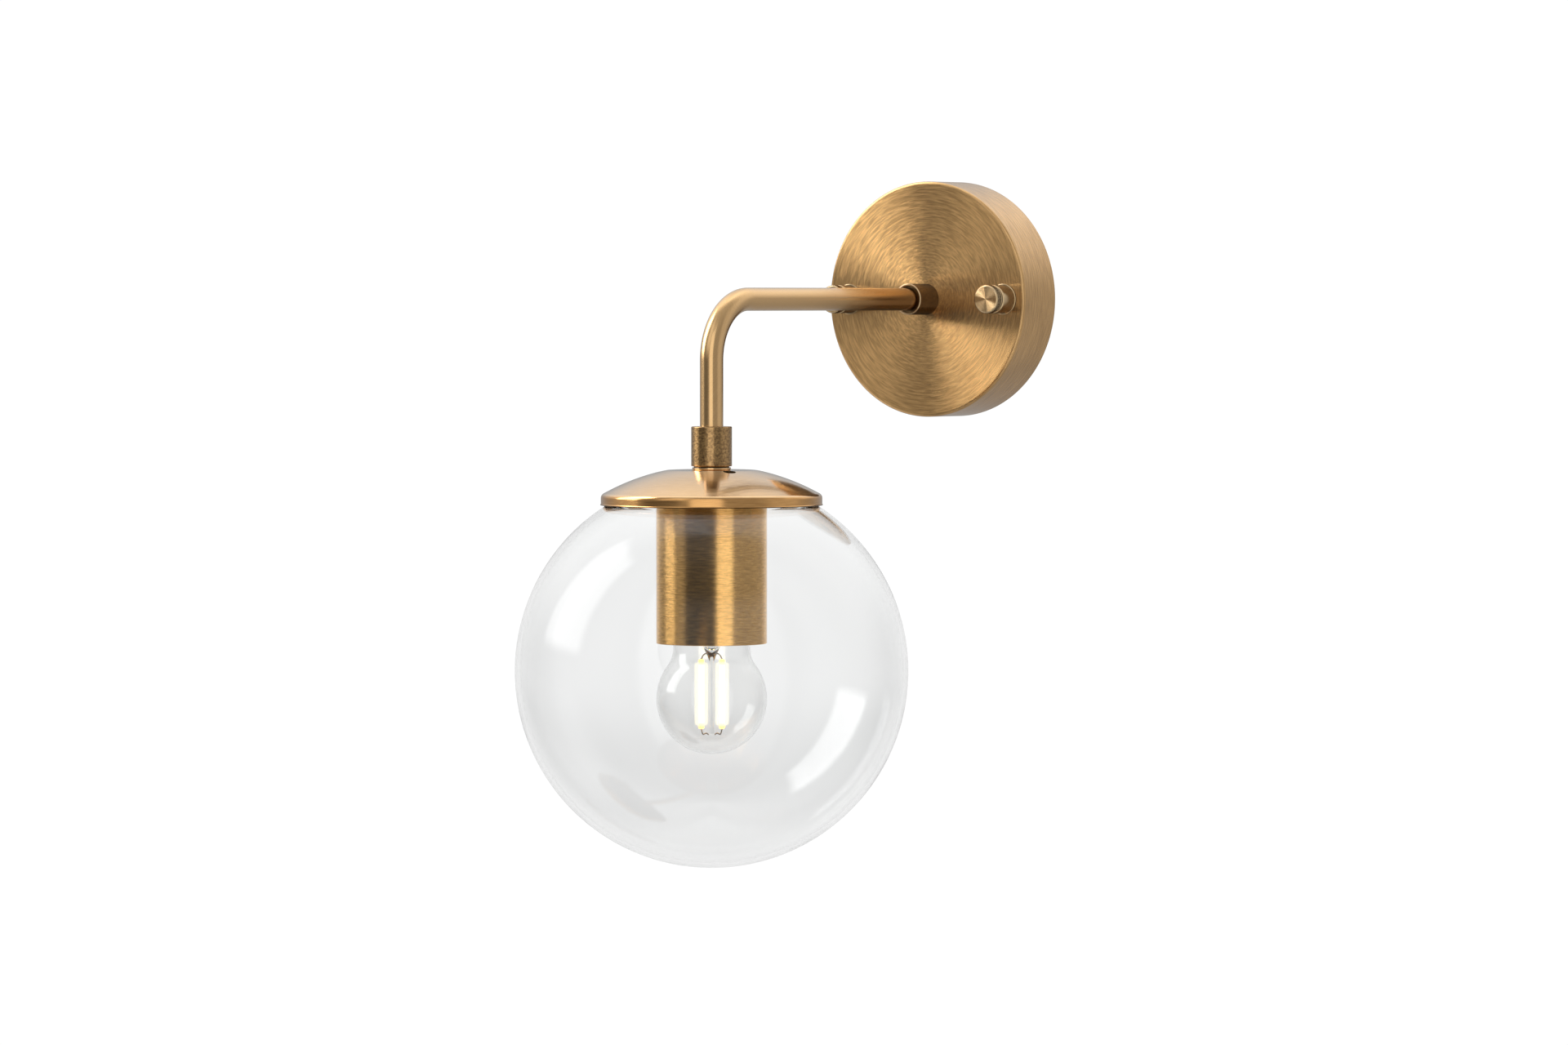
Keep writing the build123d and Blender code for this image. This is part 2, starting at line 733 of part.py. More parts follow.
# Globe: a thin sphere with a short plain neck inside the dome's rim
with BuildPart() as globe:
    with BuildSketch(drop_section) as globe_wall_section:
        with BuildLine():
            inside_radius = globe_radius - globe_wall
            outer_neck = degrees(asin(sqrt(1 - (neck_outer / globe_radius) ** 2)))
            inner_neck = degrees(asin(sqrt(1 - (neck_inner / inside_radius) ** 2)))
            outside = CenterArc((0, globe_centre), globe_radius, -90, 90 + outer_neck)
            inside = CenterArc((0, globe_centre), inside_radius, -90, 90 + inner_neck)
            Line(outside @ 0, inside @ 0)
            Polyline(outside @ 1, (neck_outer, neck_top), (neck_inner, neck_top), inside @ 1)
        make_face()
        neck_corners = globe_wall_section.vertices().group_by(Axis.Y)
        fillet(neck_corners[-1], neck_lip_radius)
        neck_roots = globe_wall_section.vertices().filter_by(lambda v: v.X > neck_inner / 2)
        fillet(neck_roots.sort_by(Axis.Y)[:2], neck_root_radius)
    revolve(axis=drop_axis)
globe.part.label = "globe"
export_step(globe.part, "parts/globe.step")

# Sleeve that hides the lampholder: closed above, open below
with BuildPart() as lampholder_sleeve:
    with BuildSketch(level(sleeve_bottom)):
        Circle(sleeve_radius)
    extrude(amount=sleeve_length)
    fillet(lampholder_sleeve.faces().sort_by(Axis.Z)[-1].edges(), sleeve_edge_radius)
    with BuildSketch(level(sleeve_bottom)):
        Circle(sleeve_inner)
    extrude(amount=sleeve_length - sleeve_wall, mode=Mode.SUBTRACT)
    with BuildSketch(level(holder_top)):
        Circle(thread_bore)
    extrude(amount=sleeve_wall, mode=Mode.SUBTRACT)
lampholder_sleeve.part.label = "lampholder_sleeve"
export_step(lampholder_sleeve.part, "parts/lampholder_sleeve.step")

# Lampholder cap: a cup with a threaded boss for the nipple
with BuildPart() as lampholder_cap:
    with BuildSketch(level(holder_cap_bottom)):
        Circle(holder_radius)
    extrude(amount=holder_cap_height)
    with BuildSketch(level(holder_cap_bottom)):
        Circle(holder_radius - holder_cap_wall)
    extrude(amount=holder_cap_height - holder_cap_top, mode=Mode.SUBTRACT)
    with BuildSketch(level(drop_nipple_bottom)):
        Circle(nipple_radius + holder_boss)
    extrude(amount=holder_thread)
    with BuildSketch(level(drop_nipple_bottom)):
        Circle(thread_bore)
    extrude(amount=holder_thread, mode=Mode.SUBTRACT)
lampholder_cap.part.label = "lampholder_cap"
export_step(lampholder_cap.part, "parts/lampholder_cap.step")

# Lampholder body: an insulator with a plug in the cap, a flange and a post for the contact
with BuildPart() as lampholder_body:
    with BuildSketch(level(holder_cap_bottom)):
        Circle(plug_radius)
    extrude(amount=holder_plug)
    with BuildSketch(level(flange_bottom)):
        Circle(holder_radius)
    extrude(amount=holder_flange)
    with BuildSketch(level(post_bottom)):
        Circle(holder_post_diameter / 2)
    extrude(amount=holder_post)
lampholder_body.part.label = "lampholder_body"
export_step(lampholder_body.part, "parts/lampholder_body.step")

# Wire clamps on the body, each with a hole for its lead and a screw in front
clamp_places = [(-clamp_spacing / 2, 0), (clamp_spacing / 2, 0)]
clamp_front = Plane.XZ.offset(arm_reach + clamp_depth / 2)
clamp_screw_places = [(x, plug_top + clamp_height / 2) for x, y in clamp_places]
with BuildPart() as lampholder_clamps:
    with BuildSketch(level(plug_top)):
        with Locations(*clamp_places):
            Rectangle(clamp_width, clamp_depth)
    extrude(amount=clamp_height)
    with BuildSketch(level(clamp_top)):
        with Locations(*clamp_places):
            Circle(lead_hole)
    extrude(amount=-clamp_hole_depth, mode=Mode.SUBTRACT)
    with BuildSketch(clamp_front):
        with Locations(*clamp_screw_places):
            Circle(clamp_screw_diameter / 2 + thread_gap)
    extrude(amount=-clamp_screw_length, mode=Mode.SUBTRACT)
lampholder_clamps.part.label = "lampholder_clamps"
export_step(lampholder_clamps.part, "parts/lampholder_clamps.step")

with BuildPart() as lampholder_screws:
    with BuildSketch(clamp_front):
        with Locations(*clamp_screw_places):
            Circle(clamp_screw_diameter / 2)
    extrude(amount=-clamp_screw_length)
    with BuildSketch(clamp_front):
        with Locations(*clamp_screw_places):
            Circle(clamp_head_diameter / 2)
    extrude(amount=clamp_head)
lampholder_screws.part.label = "lampholder_screws"
export_step(lampholder_screws.part, "parts/lampholder_screws.step")

# Centre contact under the body's post
with BuildPart() as centre_contact:
    with BuildSketch(level(post_bottom)):
        Circle(contact_disc_diameter / 2)
    extrude(amount=-contact_disc)
    with BuildSketch(level(post_bottom - contact_disc)):
        Circle(contact_plunger_diameter / 2)
    extrude(amount=-contact_plunger)
centre_contact.part.label = "centre_contact"
export_step(centre_contact.part, "parts/centre_contact.step")

# Screw shell that takes the bulb's cap, flanged round the body's post
with BuildPart() as lampholder_shell:
    with BuildSketch(level(flange_bottom)):
        Circle(shell_outer)
    extrude(amount=-shell_length)
    with BuildSketch(level(flange_bottom - shell_wall)):
        Circle(shell_inner)
    extrude(amount=shell_wall - shell_length, mode=Mode.SUBTRACT)
    with BuildSketch(level(flange_bottom)):
        Circle(holder_post_diameter / 2 + shell_fit)
    extrude(amount=-shell_wall, mode=Mode.SUBTRACT)
lampholder_shell.part.label = "lampholder_shell"
export_step(lampholder_shell.part, "parts/lampholder_shell.step")

# Skirt: the insulating ring round the screw shell
with BuildPart() as lampholder_skirt:
    with BuildSketch(level(flange_bottom)):
        Circle(holder_radius)
        Circle(shell_outer + shell_fit, mode=Mode.SUBTRACT)
    extrude(amount=-holder_skirt_length)
lampholder_skirt.part.label = "lampholder_skirt"
export_step(lampholder_skirt.part, "parts/lampholder_skirt.step")

# Bulb: contact, insulator and screw cap
with BuildPart() as bulb_contact:
    with BuildSketch(level(bulb_contact_bottom)):
        Circle(bulb_contact_diameter / 2)
    extrude(amount=bulb_contact_height)
bulb_contact.part.label = "bulb_contact"
export_step(bulb_contact.part, "parts/bulb_contact.step")

with BuildPart() as bulb_insulator:
    with BuildSketch(level(insulator_bottom)):
        Circle(screw_cap_radius - screw_ridge)
    with BuildSketch(level(bulb_contact_bottom)):
        Circle(insulator_top_diameter / 2)
    loft()
bulb_insulator.part.label = "bulb_insulator"
export_step(bulb_insulator.part, "parts/bulb_insulator.step")

ridge_count = int((screw_cap_length - screw_cap_plain) / screw_pitch)
with BuildPart() as bulb_screw_cap:
    with BuildSketch(drop_section):
        with BuildLine():
            ridge_top = insulator_bottom
            root = screw_cap_radius - screw_ridge
            Line((screw_cap_inner, insulator_bottom), (root, insulator_bottom))
            for ridge in range(ridge_count):
                ridge_low = ridge_top - screw_pitch
                ridge_middle = (ridge_top + ridge_low) / 2
                ThreePointArc((root, ridge_top), (screw_cap_radius, ridge_middle), (root, ridge_low))
                ridge_top = ridge_low
            Polyline(
                (root, ridge_top),
                (screw_cap_radius, ridge_top),
                (screw_cap_radius, screw_cap_bottom),
                (bulb_collar_diameter / 2 + seat_gap, screw_cap_bottom),
                (bulb_collar_diameter / 2 + seat_gap, glass_top + seat_gap),
                (screw_cap_inner, glass_top + seat_gap),
                (screw_cap_inner, insulator_bottom),
            )
        make_face()
    revolve(axis=drop_axis)
bulb_screw_cap.part.label = "bulb_screw_cap"
export_step(bulb_screw_cap.part, "parts/bulb_screw_cap.step")


def bulb_section(inset):
    """Half of the bulb's outline: collar, flare, neck, a hollow blend and the round end, set in by a wall."""
    collar = bulb_collar_diameter / 2 - inset
    neck = bulb_neck_diameter / 2 - inset
    ball = bulb_radius - inset
    blend = bulb_neck_blend + inset
    blend_x = neck + blend
    blend_z = sqrt((ball + blend) ** 2 - blend_x**2)
    tilt = degrees(asin(blend_z / (ball + blend)))
    with BuildSketch(drop_section) as section:
        with BuildLine():
            Polyline(
                (0, glass_top),
                (collar, glass_top),
                (collar, screw_cap_bottom),
                (neck, screw_cap_bottom - bulb_flare),
                (neck, bulb_centre + blend_z),
            )
            CenterArc((blend_x, bulb_centre + blend_z), blend, 180, tilt)
            round_end = CenterArc((0, bulb_centre), ball, tilt, -90 - tilt)
            Line(round_end @ 1, (0, glass_top))
        make_face()
        flare = section.vertices().filter_by(lambda v: v.X > collar / 2).sort_by(Axis.Y)[-3:-1]
        fillet(flare, bulb_flare_fillet)
    return section.sketch


# Bulb glass: a thin clear shell, open at the top inside the screw cap
bulb_outside = bulb_section(0)
bulb_hollow = bulb_section(bulb_wall)
with BuildPart() as bulb_glass:
    revolve(bulb_outside, axis=drop_axis)
    revolve(bulb_hollow, axis=drop_axis, mode=Mode.SUBTRACT)
bulb_glass.part.label = "bulb_glass"
export_step(bulb_glass.part, "parts/bulb_glass.step")

# Glass stem: a flare that closes the neck, a tapered trunk and a thin pillar
with BuildPart() as bulb_stem:
    with BuildSketch(drop_section):
        with BuildLine():
            flare_edge = bulb_collar_diameter / 2 - bulb_wall - seat_gap
            Polyline(
                (0, glass_top),
                (flare_edge, glass_top),
                (flare_edge, stem_trunk_top),
                (stem_trunk_diameter / 2, stem_trunk_top),
                (stem_trunk_diameter / 2, stem_taper_top),
                (stem_tip_diameter / 2, stem_tip),
                (pillar_diameter / 2, stem_tip),
                (pillar_diameter / 2, pillar_bottom),
                (0, pillar_bottom),
                close=True,
            )
        make_face()
    revolve(axis=drop_axis)
bulb_stem.part.label = "bulb_stem"
export_step(bulb_stem.part, "parts/bulb_stem.step")

# Light-giving filaments, upright on each side of the pillar
filament_sides = [(filament_spacing / 2 * side * cos(radians(filament_turn)),
                   filament_spacing / 2 * side * sin(radians(filament_turn))) for side in (-1, 1)]
with BuildPart() as bulb_filaments:
    with BuildSketch(level(filament_bottom)):
        with Locations(*filament_sides):
            Circle(filament_diameter / 2)
    extrude(amount=filament_length)
    fillet(bulb_filaments.edges().filter_by(GeomType.CIRCLE), filament_fillet)
bulb_filaments.part.label = "bulb_filaments"
export_step(bulb_filaments.part, "parts/bulb_filaments.step")

# Thin wires from the stem to the filaments' upper ends and from the pillar to their lower ends
with BuildPart() as bulb_support_wires:
    for turn in (filament_turn, filament_turn + 180):
        plane = filament_plane(turn)
        upper = filament_top + wire_rise
        lower = filament_bottom - wire_rise
        taper_share = max(0, (upper + wire_diameter / 2 - stem_tip) / stem_taper)
        taper_widening = (stem_trunk_diameter - stem_tip_diameter) / 2 * taper_share
        upper_start = stem_tip_diameter / 2 + taper_widening + seat_gap
        lower_start = pillar_diameter / 2 + seat_gap
        for start, height, end in (
            (upper_start, upper, filament_top),
            (lower_start, lower, filament_bottom),
        ):
            with BuildLine(plane) as wire_route:
                FilletPolyline(
                    (start, height),
                    (filament_spacing / 2, height),
                    (filament_spacing / 2, end),
                    radius=wire_bend,
                )
            with BuildSketch(Plane(origin=wire_route.line @ 0, z_dir=wire_route.line % 0)):
                Circle(wire_diameter / 2)
            sweep(path=wire_route.line)
bulb_support_wires.part.label = "bulb_support_wires"
export_step(bulb_support_wires.part, "parts/bulb_support_wires.step")

# Driver board with its capacitor, inside the screw cap
with BuildPart() as bulb_driver:
    driver_bottom = glass_top + driver_lift
    driver_half = sqrt((screw_cap_inner - seat_gap) ** 2 - (driver_thickness / 2) ** 2)
    with BuildSketch(level(driver_bottom)):
        Rectangle(2 * driver_half, driver_thickness)
    extrude(amount=driver_height)
    with BuildSketch(level(driver_bottom)):
        with Locations((0, -(driver_thickness + capacitor_diameter) / 2)):
            Circle(capacitor_diameter / 2)
            Rectangle(capacitor_diameter / 2, capacitor_diameter / 2, align=(Align.CENTER, Align.MIN))
    extrude(amount=capacitor_length)
bulb_driver.part.label = "bulb_driver"
export_step(bulb_driver.part, "parts/bulb_driver.step")


def make_lead(name, points, radii):
    """A round lead along straight runs joined by tangent arcs. Prints its length, bends and volume share."""
    with BuildPart() as lead:
        with BuildLine() as route:
            FilletPolyline(*points, radius=radii)
        path = route.wire()
        with BuildSketch(Plane(origin=path @ 0, z_dir=path % 0)):
            Circle(lead_radius)
        sweep(path=path)
    share = lead.part.volume / (pi * lead_radius**2 * path.length)
    print(f"{name}: length {path.length:.1f} mm, bend radii {radii}")
    print(f"{name}: volume over section times length {share:.4f}")
    return lead


def lamp_lead_points(side, pole):
    """From a pole of the block into the arm, along it, down the drop and out to a clamp in the lampholder."""
    beside = side * lead_spread / 2
    fan = clamp_spacing / 2 - lead_spread / 2
    fan_top = drop_nipple_bottom - lead_fan_start
    return [
        (pole, -pole_distance, block_top - wire_hole_depth),
        (pole, -pole_distance, block_top + lead_rise - lead_diameter),
        (beside, -lead_plane, 0),
        (beside, -arm_reach, 0),
        (beside, -arm_reach, fan_top),
        (side * clamp_spacing / 2, -arm_reach, fan_top - fan),
        (side * clamp_spacing / 2, -arm_reach, clamp_top - clamp_hole_depth),
    ]


lamp_lead_radii = [lead_ease, lead_turn, elbow_radius, lead_fan_radius, lead_fan_radius]
live_lead = make_lead("live_lead", lamp_lead_points(-1, pole_places[-2]), lamp_lead_radii)
live_lead.part.label = "live_lead"
export_step(live_lead.part, "parts/live_lead.step")
neutral_lead = make_lead("neutral_lead", lamp_lead_points(1, pole_places[-1]), lamp_lead_radii)
neutral_lead.part.label = "neutral_lead"
export_step(neutral_lead.part, "parts/neutral_lead.step")

# Earth lead from the block's first pole up to the earth screw's head
earth_pole = pole_places[0]
earth_stop = bracket_thickness + earth_head_height
earth_points = [
    (earth_pole, -pole_distance, block_top - wire_hole_depth),
    (earth_pole, -pole_distance, block_top + earth_climb),
    (-earth_x, -pole_distance - earth_bend, earth_z),
    (-earth_x, -earth_stop, earth_z),
]
earth_lead = make_lead("earth_lead", earth_points, [earth_bend, earth_bend])
earth_lead.part.label = "earth_lead"
export_step(earth_lead.part, "parts/earth_lead.step")

print(f"globe bottom {globe_centre - globe_radius:.2f}, rim {rim_bottom:.2f}, sleeve {sleeve_bottom:.2f}")
print(f"bulb bottom {bulb_bottom:.2f}, slot spacing {2 * slot_offset:.2f}")
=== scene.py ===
# %% [markdown]
# # A brass wall lamp with a clear globe
# The lamp is a round wall canopy, a bent arm, a shallow dome cap and a thin glass globe round a small bulb.
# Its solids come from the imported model. This script lays smooth surfaces and finishes over them, in the same frame:
# metres, +Z up, the wall at Y = 0, the arm reaching out along -Y.

# %% Load the frame
import json
import math

import bpy
import numpy as np
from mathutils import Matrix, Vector


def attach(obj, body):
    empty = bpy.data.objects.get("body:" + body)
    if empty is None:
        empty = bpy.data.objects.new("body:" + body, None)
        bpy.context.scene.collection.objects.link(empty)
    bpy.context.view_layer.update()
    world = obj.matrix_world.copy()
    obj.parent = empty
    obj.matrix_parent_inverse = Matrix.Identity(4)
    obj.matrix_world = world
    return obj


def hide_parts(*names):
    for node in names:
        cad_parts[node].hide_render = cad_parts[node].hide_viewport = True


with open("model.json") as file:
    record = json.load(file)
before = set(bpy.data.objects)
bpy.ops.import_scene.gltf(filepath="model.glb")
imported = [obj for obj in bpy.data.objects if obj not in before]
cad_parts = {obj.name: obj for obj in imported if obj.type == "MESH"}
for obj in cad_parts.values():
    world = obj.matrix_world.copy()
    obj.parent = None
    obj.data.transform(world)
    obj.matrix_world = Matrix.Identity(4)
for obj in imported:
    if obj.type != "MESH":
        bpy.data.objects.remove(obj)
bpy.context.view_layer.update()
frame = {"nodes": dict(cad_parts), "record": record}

MM = 0.001
REACH = 178 * MM

# %% [markdown]
# ## Camera
# The picture was taken from far off with a long lens, a little to the right of the arm and level with it.
# A long lens keeps the globe round near the edge of the frame, so the same lens is used here with no shift.
# The camera sits beside the line to the drop, which puts the lamp left of the middle. The horizon lies some way
# above the picture's middle, and its height in pixels of the full picture gives the tilt.

# %% Camera
ANGLE = math.radians(35.6)
DISTANCE, ASIDE, SIGHT = 2.652, 0.0294, 60
LENS, SENSOR = 150, 36
PICTURE_WIDTH, HORIZON = 1920, 273.5
toward_camera = Vector((math.sin(ANGLE), -math.cos(ANGLE), 0))
picture_right = Vector((math.cos(ANGLE), math.sin(ANGLE), 0))
camera = bpy.data.objects.new("camera", bpy.data.cameras.new("camera"))
bpy.context.scene.collection.objects.link(camera)
camera.data.lens = LENS
camera.data.sensor_width = SENSOR
camera.data.clip_end = SIGHT
camera.location = Vector((0, -REACH, 0)) + DISTANCE * toward_camera + ASIDE * picture_right
tilt = math.atan(HORIZON / (PICTURE_WIDTH * LENS / SENSOR))
aim = -math.cos(tilt) * toward_camera - Vector((0, 0, math.sin(tilt)))
camera.rotation_mode = "QUATERNION"
camera.rotation_quaternion = aim.to_track_quat("-Z", "Y")
bpy.context.scene.camera = camera
bpy.context.scene.view_settings.view_transform = "Standard"
print("camera at", [round(v, 3) for v in camera.location], "tilt", round(math.degrees(tilt), 2))

# %% [markdown]
# ## Sums on sockets
# A finish is a graph of small nodes. Written node by node it is long and hard to read, so a thin wrapper lets
# ordinary Python sums build the Math nodes. Every other node goes through one method: its settings are set first,
# because some of them change which sockets exist, and then its sockets get numbers or links.


# %% Node wrapper
class Value:
    """One socket of a node tree that can stand in a Python sum."""

    def __init__(self, tree, socket):
        self.tree, self.socket = tree, socket

    def out(self, name):
        return Value(self.tree, self.socket.node.outputs[name])

    def math(self, operation, first, second=0.0):
        return self.tree.node("Math", {"operation": operation}, {0: first, 1: second})

    def __add__(self, other):
        return self.math("ADD", self, other)

    def __radd__(self, other):
        return self.math("ADD", other, self)

    def __sub__(self, other):
        return self.math("SUBTRACT", self, other)

    def __rsub__(self, other):
        return self.math("SUBTRACT", other, self)

    def __mul__(self, other):
        return self.math("MULTIPLY", self, other)

    def __rmul__(self, other):
        return self.math("MULTIPLY", other, self)


class Tree:
    """A node tree with one method that makes any node."""

    def __init__(self, tree):
        self.tree = tree
        tree.nodes.clear()

    def node(self, kind, settings=None, sockets=None):
        made = self.tree.nodes.new("ShaderNode" + kind)
        for name, value in (settings or {}).items():
            setattr(made, name, value)
        for name, value in (sockets or {}).items():
            self.feed(made.inputs[name], value)
        return Value(self, made.outputs[0] if made.outputs else None)

    def feed(self, socket, value):
        if isinstance(value, Value):
            self.tree.links.new(value.socket, socket)
        else:
            socket.default_value = value

    def vector(self, operation, *parts):
        made = self.node("VectorMath", {"operation": operation}, dict(enumerate(parts)))
        return made.out("Value") if operation in ("DOT_PRODUCT", "LENGTH") else made

    def scaled(self, vector, factor):
        return self.node("VectorMath", {"operation": "SCALE"}, {0: vector, "Scale": factor})

    def step(self, value, low, high):
        """0 below low, 1 above high, and a smooth rise between them."""
        return self.node("MapRange", {"interpolation_type": "SMOOTHSTEP"}, {0: value, 1: low, 2: high})

    def window(self, value, low, high, soft):
        """1 between low and high, falling smoothly to 0 over the width soft on each side."""
        return self.step(value, low - soft, low + soft) * (1 - self.step(value, high - soft, high + soft))

    def mix(self, factor, first, second):
        """A colour between two colours."""
        made = self.node("Mix", {"data_type": "RGBA"}, {0: factor, 6: first, 7: second})
        return Value(self, made.socket.node.outputs[2])

    def noise(self, vector, scale, detail=2.0):
        return self.node("TexNoise", None, {"Vector": vector, "Scale": scale, "Detail": detail})

    def surface(self, sockets, **others):
        """One Principled shader on the material's output. The others feed the output's further sockets."""
        shader = self.node("BsdfPrincipled", None, sockets)
        self.node("OutputMaterial", None, {"Surface": shader, **others})


def blank(name):
    """A new material and its empty node tree."""
    material = bpy.data.materials.new(name)
    material.use_nodes = True
    return material, Tree(material.node_tree)


print("node wrapper ready")

# %% [markdown]
# ## Studio
# Polished metal has hardly any look of its own: it shows the room. The photograph's room can be read off the
# upright sleeve, where each strip of the cylinder mirrors one direction: a bright panel left and above, a dark gap
# beside the camera, a pale panel next to it, a bright wall behind. The metal outside the globe also shows a low and
# a high light on the left and a dim wall on the right, and it shows the pale panel further left than the sleeve
# inside the globe does, so the panel's place depends on whether a ray has passed through glass. Glass mirrors a white
# backdrop that the metal doesn't, or its edge would turn grey. Its own sheen, from rays that met no metal, shows the
# left panel and the ceiling dimmer than metal does. Real panels could be built as planes, but they would stand in the
# way of other views, so the panels are painted into the world by direction. The camera itself sees plain white. What
# it sees straight through the glass is greyer, most of all low down, because thick glass keeps some light back.

# %% Studio light
world = bpy.data.worlds.new("studio")
bpy.context.scene.world = world
world.use_nodes = True
sky = Tree(world.node_tree)
direction = sky.node("TexCoord").out("Generated")
beside = sky.vector("DOT_PRODUCT", direction, tuple(picture_right))
ahead = sky.vector("DOT_PRODUCT", direction, tuple(toward_camera))
height = sky.node("SeparateXYZ", None, {0: direction}).out("Z")
DEGREE = 180 / math.pi
turn = sky.node("Math", {"operation": "ARCTAN2"}, {0: beside, 1: ahead}) * DEGREE
rise = sky.node("Math", {"operation": "ARCSINE"}, {0: height}) * DEGREE
apart = sky.node("Math", {"operation": "ABSOLUTE"}, {0: turn})
rays = sky.node("LightPath")
crossed = rays.out("Transmission Depth")
within = sky.step(crossed, 0.2, 0.8)
off_glass = rays.out("Is Singular Ray") * (1 - rays.out("Is Transmission Ray"))
sheen = 1 - (1 - off_glass) * (1 - within * (1 - sky.step(crossed, 2.2, 2.8)))
metal_only = (1 - sheen) * (1 - within)


def panel(turns, turn_soft, rises, rise_soft, turned=turn):
    """1 inside a soft-edged window of directions and 0 outside it. The limits and softnesses are in degrees."""
    return sky.window(turned, *turns, turn_soft) * sky.window(rise, *rises, rise_soft)


left_panel = panel((-118 + 5 * within, -85), 3, (8, 54), 3) * (4.2 - 0.9 * within - 2.0 * sheen)
front_panel = panel((-22, 12), 4, (-50, 44), 8, turn - 34 * within) * (0.72 + 0.38 * within)
low_light = panel((-128, -86), 8, (-46, -8), 8) * (0.6 - 0.6 * within)
high_light = panel((-58, -26), 6, (14, 60), 8) * metal_only * 0.5
right_wall = panel((62, 106), 10, (-45, 40), 10) * metal_only * 0.18
dark_gap = panel((-76 + 18 * within, -34 + 42 * within), 8, (-45, 6 + 66 * within), 12)
ceiling = sky.step(rise, 20, 88) * (0.15 + 0.45 * sky.step(apart, 50, 150)) * (1 - 0.7 * sheen)
back_wall = sky.step(apart, 80, 125) * (0.65 - 0.3 * sky.step(apart, 140, 178)) * sky.step(rise, 0, 30)
by_glass = 1 - (1 - off_glass) * (1 - within)
backdrop = 0.54 * sky.step(apart, 122, 158) * by_glass * (1 - sky.step(rise, 0, 30))
room = (0.36 + ceiling + back_wall) * (1 - dark_gap * (0.74 + 0.2 * within))
glow = room + backdrop + left_panel + front_panel + low_light + high_light + right_wall
camera_ray = rays.out("Is Camera Ray")
bounces = sky.step(rays.out("Glossy Depth") + rays.out("Diffuse Depth"), 0.2, 0.8)
through_glass = rays.out("Is Transmission Ray") * (1 - bounces)
dusk = 0.82 + 0.13 * sky.step(rise, -5.0, -3.3)
shown = glow * (1 - camera_ray - through_glass) + 1.04 * camera_ray + dusk * through_glass
background = sky.node("Background", None, {"Color": (1, 1, 1, 1), "Strength": shown})
sky.node("OutputWorld", None, {"Surface": background})
print("studio panels painted on the world")

# %% [markdown]
# ## Surfaces from grids
# Nearly every piece was turned on a lathe or bent from tube. A turned piece is an outline carried round an axis,
# so it is a grid: rows along the outline, columns round the axis. The grid is worked out as whole arrays. Corners of
# an outline get small arcs, as a maker breaks every edge, and extra points beside them keep the flats flat when
# shaded.


# %% Surface helpers
def arc(centre, radius, start, end, steps):
    """Points centre + radius (cos a, sin a) with the angle a running from start to end, in degrees."""
    a = np.radians(np.linspace(start, end, steps))
    return np.column_stack([centre[0] + radius * np.cos(a), centre[1] + radius * np.sin(a)])


def rounded(corners, radii, closed=False, steps=7, hold=0.15 * MM):
    """The outline through corners, with an arc of its radius tangent to both sides at each corner.
    A point is held at a short distance on each side of an arc, so that flat faces keep one normal."""
    p = np.asarray(corners, float)
    made = []
    for k, radius in enumerate(radii):
        here = p[k]
        if not closed and k in (0, len(p) - 1):
            made.append(here[None])
            continue
        back, on = p[k - 1] - here, p[(k + 1) % len(p)] - here
        room = 0.45 * min(np.linalg.norm(back), np.linalg.norm(on))
        back, on = back / np.linalg.norm(back), on / np.linalg.norm(on)
        half = math.acos(np.clip(back @ on, -1, 1)) / 2
        reach = min(max(radius, 0.02 * MM) / math.tan(half), room)
        size = reach * math.tan(half)
        centre = here + (back + on) / np.linalg.norm(back + on) * size / math.sin(half)
        first, last = here + back * reach - centre, here + on * reach - centre
        span = math.pi - 2 * half
        s = np.linspace(0, 1, steps)[:, None]
        bend = (np.sin((1 - s) * span) * first + np.sin(s * span) * last) / math.sin(span)
        ease = min(hold, 0.3 * (room / 0.45 - reach))
        made.append(np.vstack([here + back * (reach + ease), centre + bend, here + on * (reach + ease)]))
    return np.vstack(made)


def skin(name, *grids, closed=False):
    """A mesh of four-sided faces on grids of points. Columns meet their own start. Rows either close on themselves
    or end in a row that has shrunk to a point, which becomes one vertex. Faces are turned outwards by the sign of
    the enclosed volume."""
    points, fours, threes, base = [], [], [], 0
    for grid in grids:
        rows, columns, _ = grid.shape
        index = np.arange(rows * columns).reshape(rows, columns)
        if not closed:
            index[0], index[-1] = index[0, 0], index[-1, 0]
        beside = np.roll(index, -1, 1)
        below, beside_below = np.roll(index, -1, 0), np.roll(beside, -1, 0)
        quads = np.stack([index, beside, beside_below, below], -1)
        flat = grid.reshape(-1, 3)
        a, b, c, d = (flat[q] for q in np.moveaxis(quads if closed else quads[:-1], -1, 0))
        volume = (np.cross(a, b) * c + np.cross(a, c) * d).sum()
        if volume < 0:
            quads = quads[..., ::-1]
        if closed:
            fours.append(quads.reshape(-1, 4) + base)
        else:
            fours.append(quads[1:-2].reshape(-1, 4) + base)
            first, last = quads[0], quads[-2]
            threes.append((first[:, [1, 2, 3]] if volume >= 0 else first[:, [0, 1, 2]]) + base)
            threes.append((last[:, [0, 1, 2]] if volume >= 0 else last[:, [1, 2, 3]]) + base)
        points.append(flat)
        base += rows * columns
    points, fours = np.vstack(points), np.vstack(fours)
    threes = np.vstack(threes) if threes else np.zeros((0, 3), int)
    used, fresh = np.unique(np.concatenate([fours.ravel(), threes.ravel()]), return_inverse=True)
    fours, threes = fresh[: fours.size].reshape(-1, 4), fresh[fours.size:].reshape(-1, 3)
    mesh = bpy.data.meshes.new(name)
    mesh.from_pydata(points[used].tolist(), [], fours.tolist() + threes.tolist())
    mesh.polygons.foreach_set("use_smooth", np.ones(len(mesh.polygons), bool))
    mesh.validate()
    mesh.update()
    made = bpy.data.objects.new(name, mesh)
    bpy.context.scene.collection.objects.link(made)
    return made


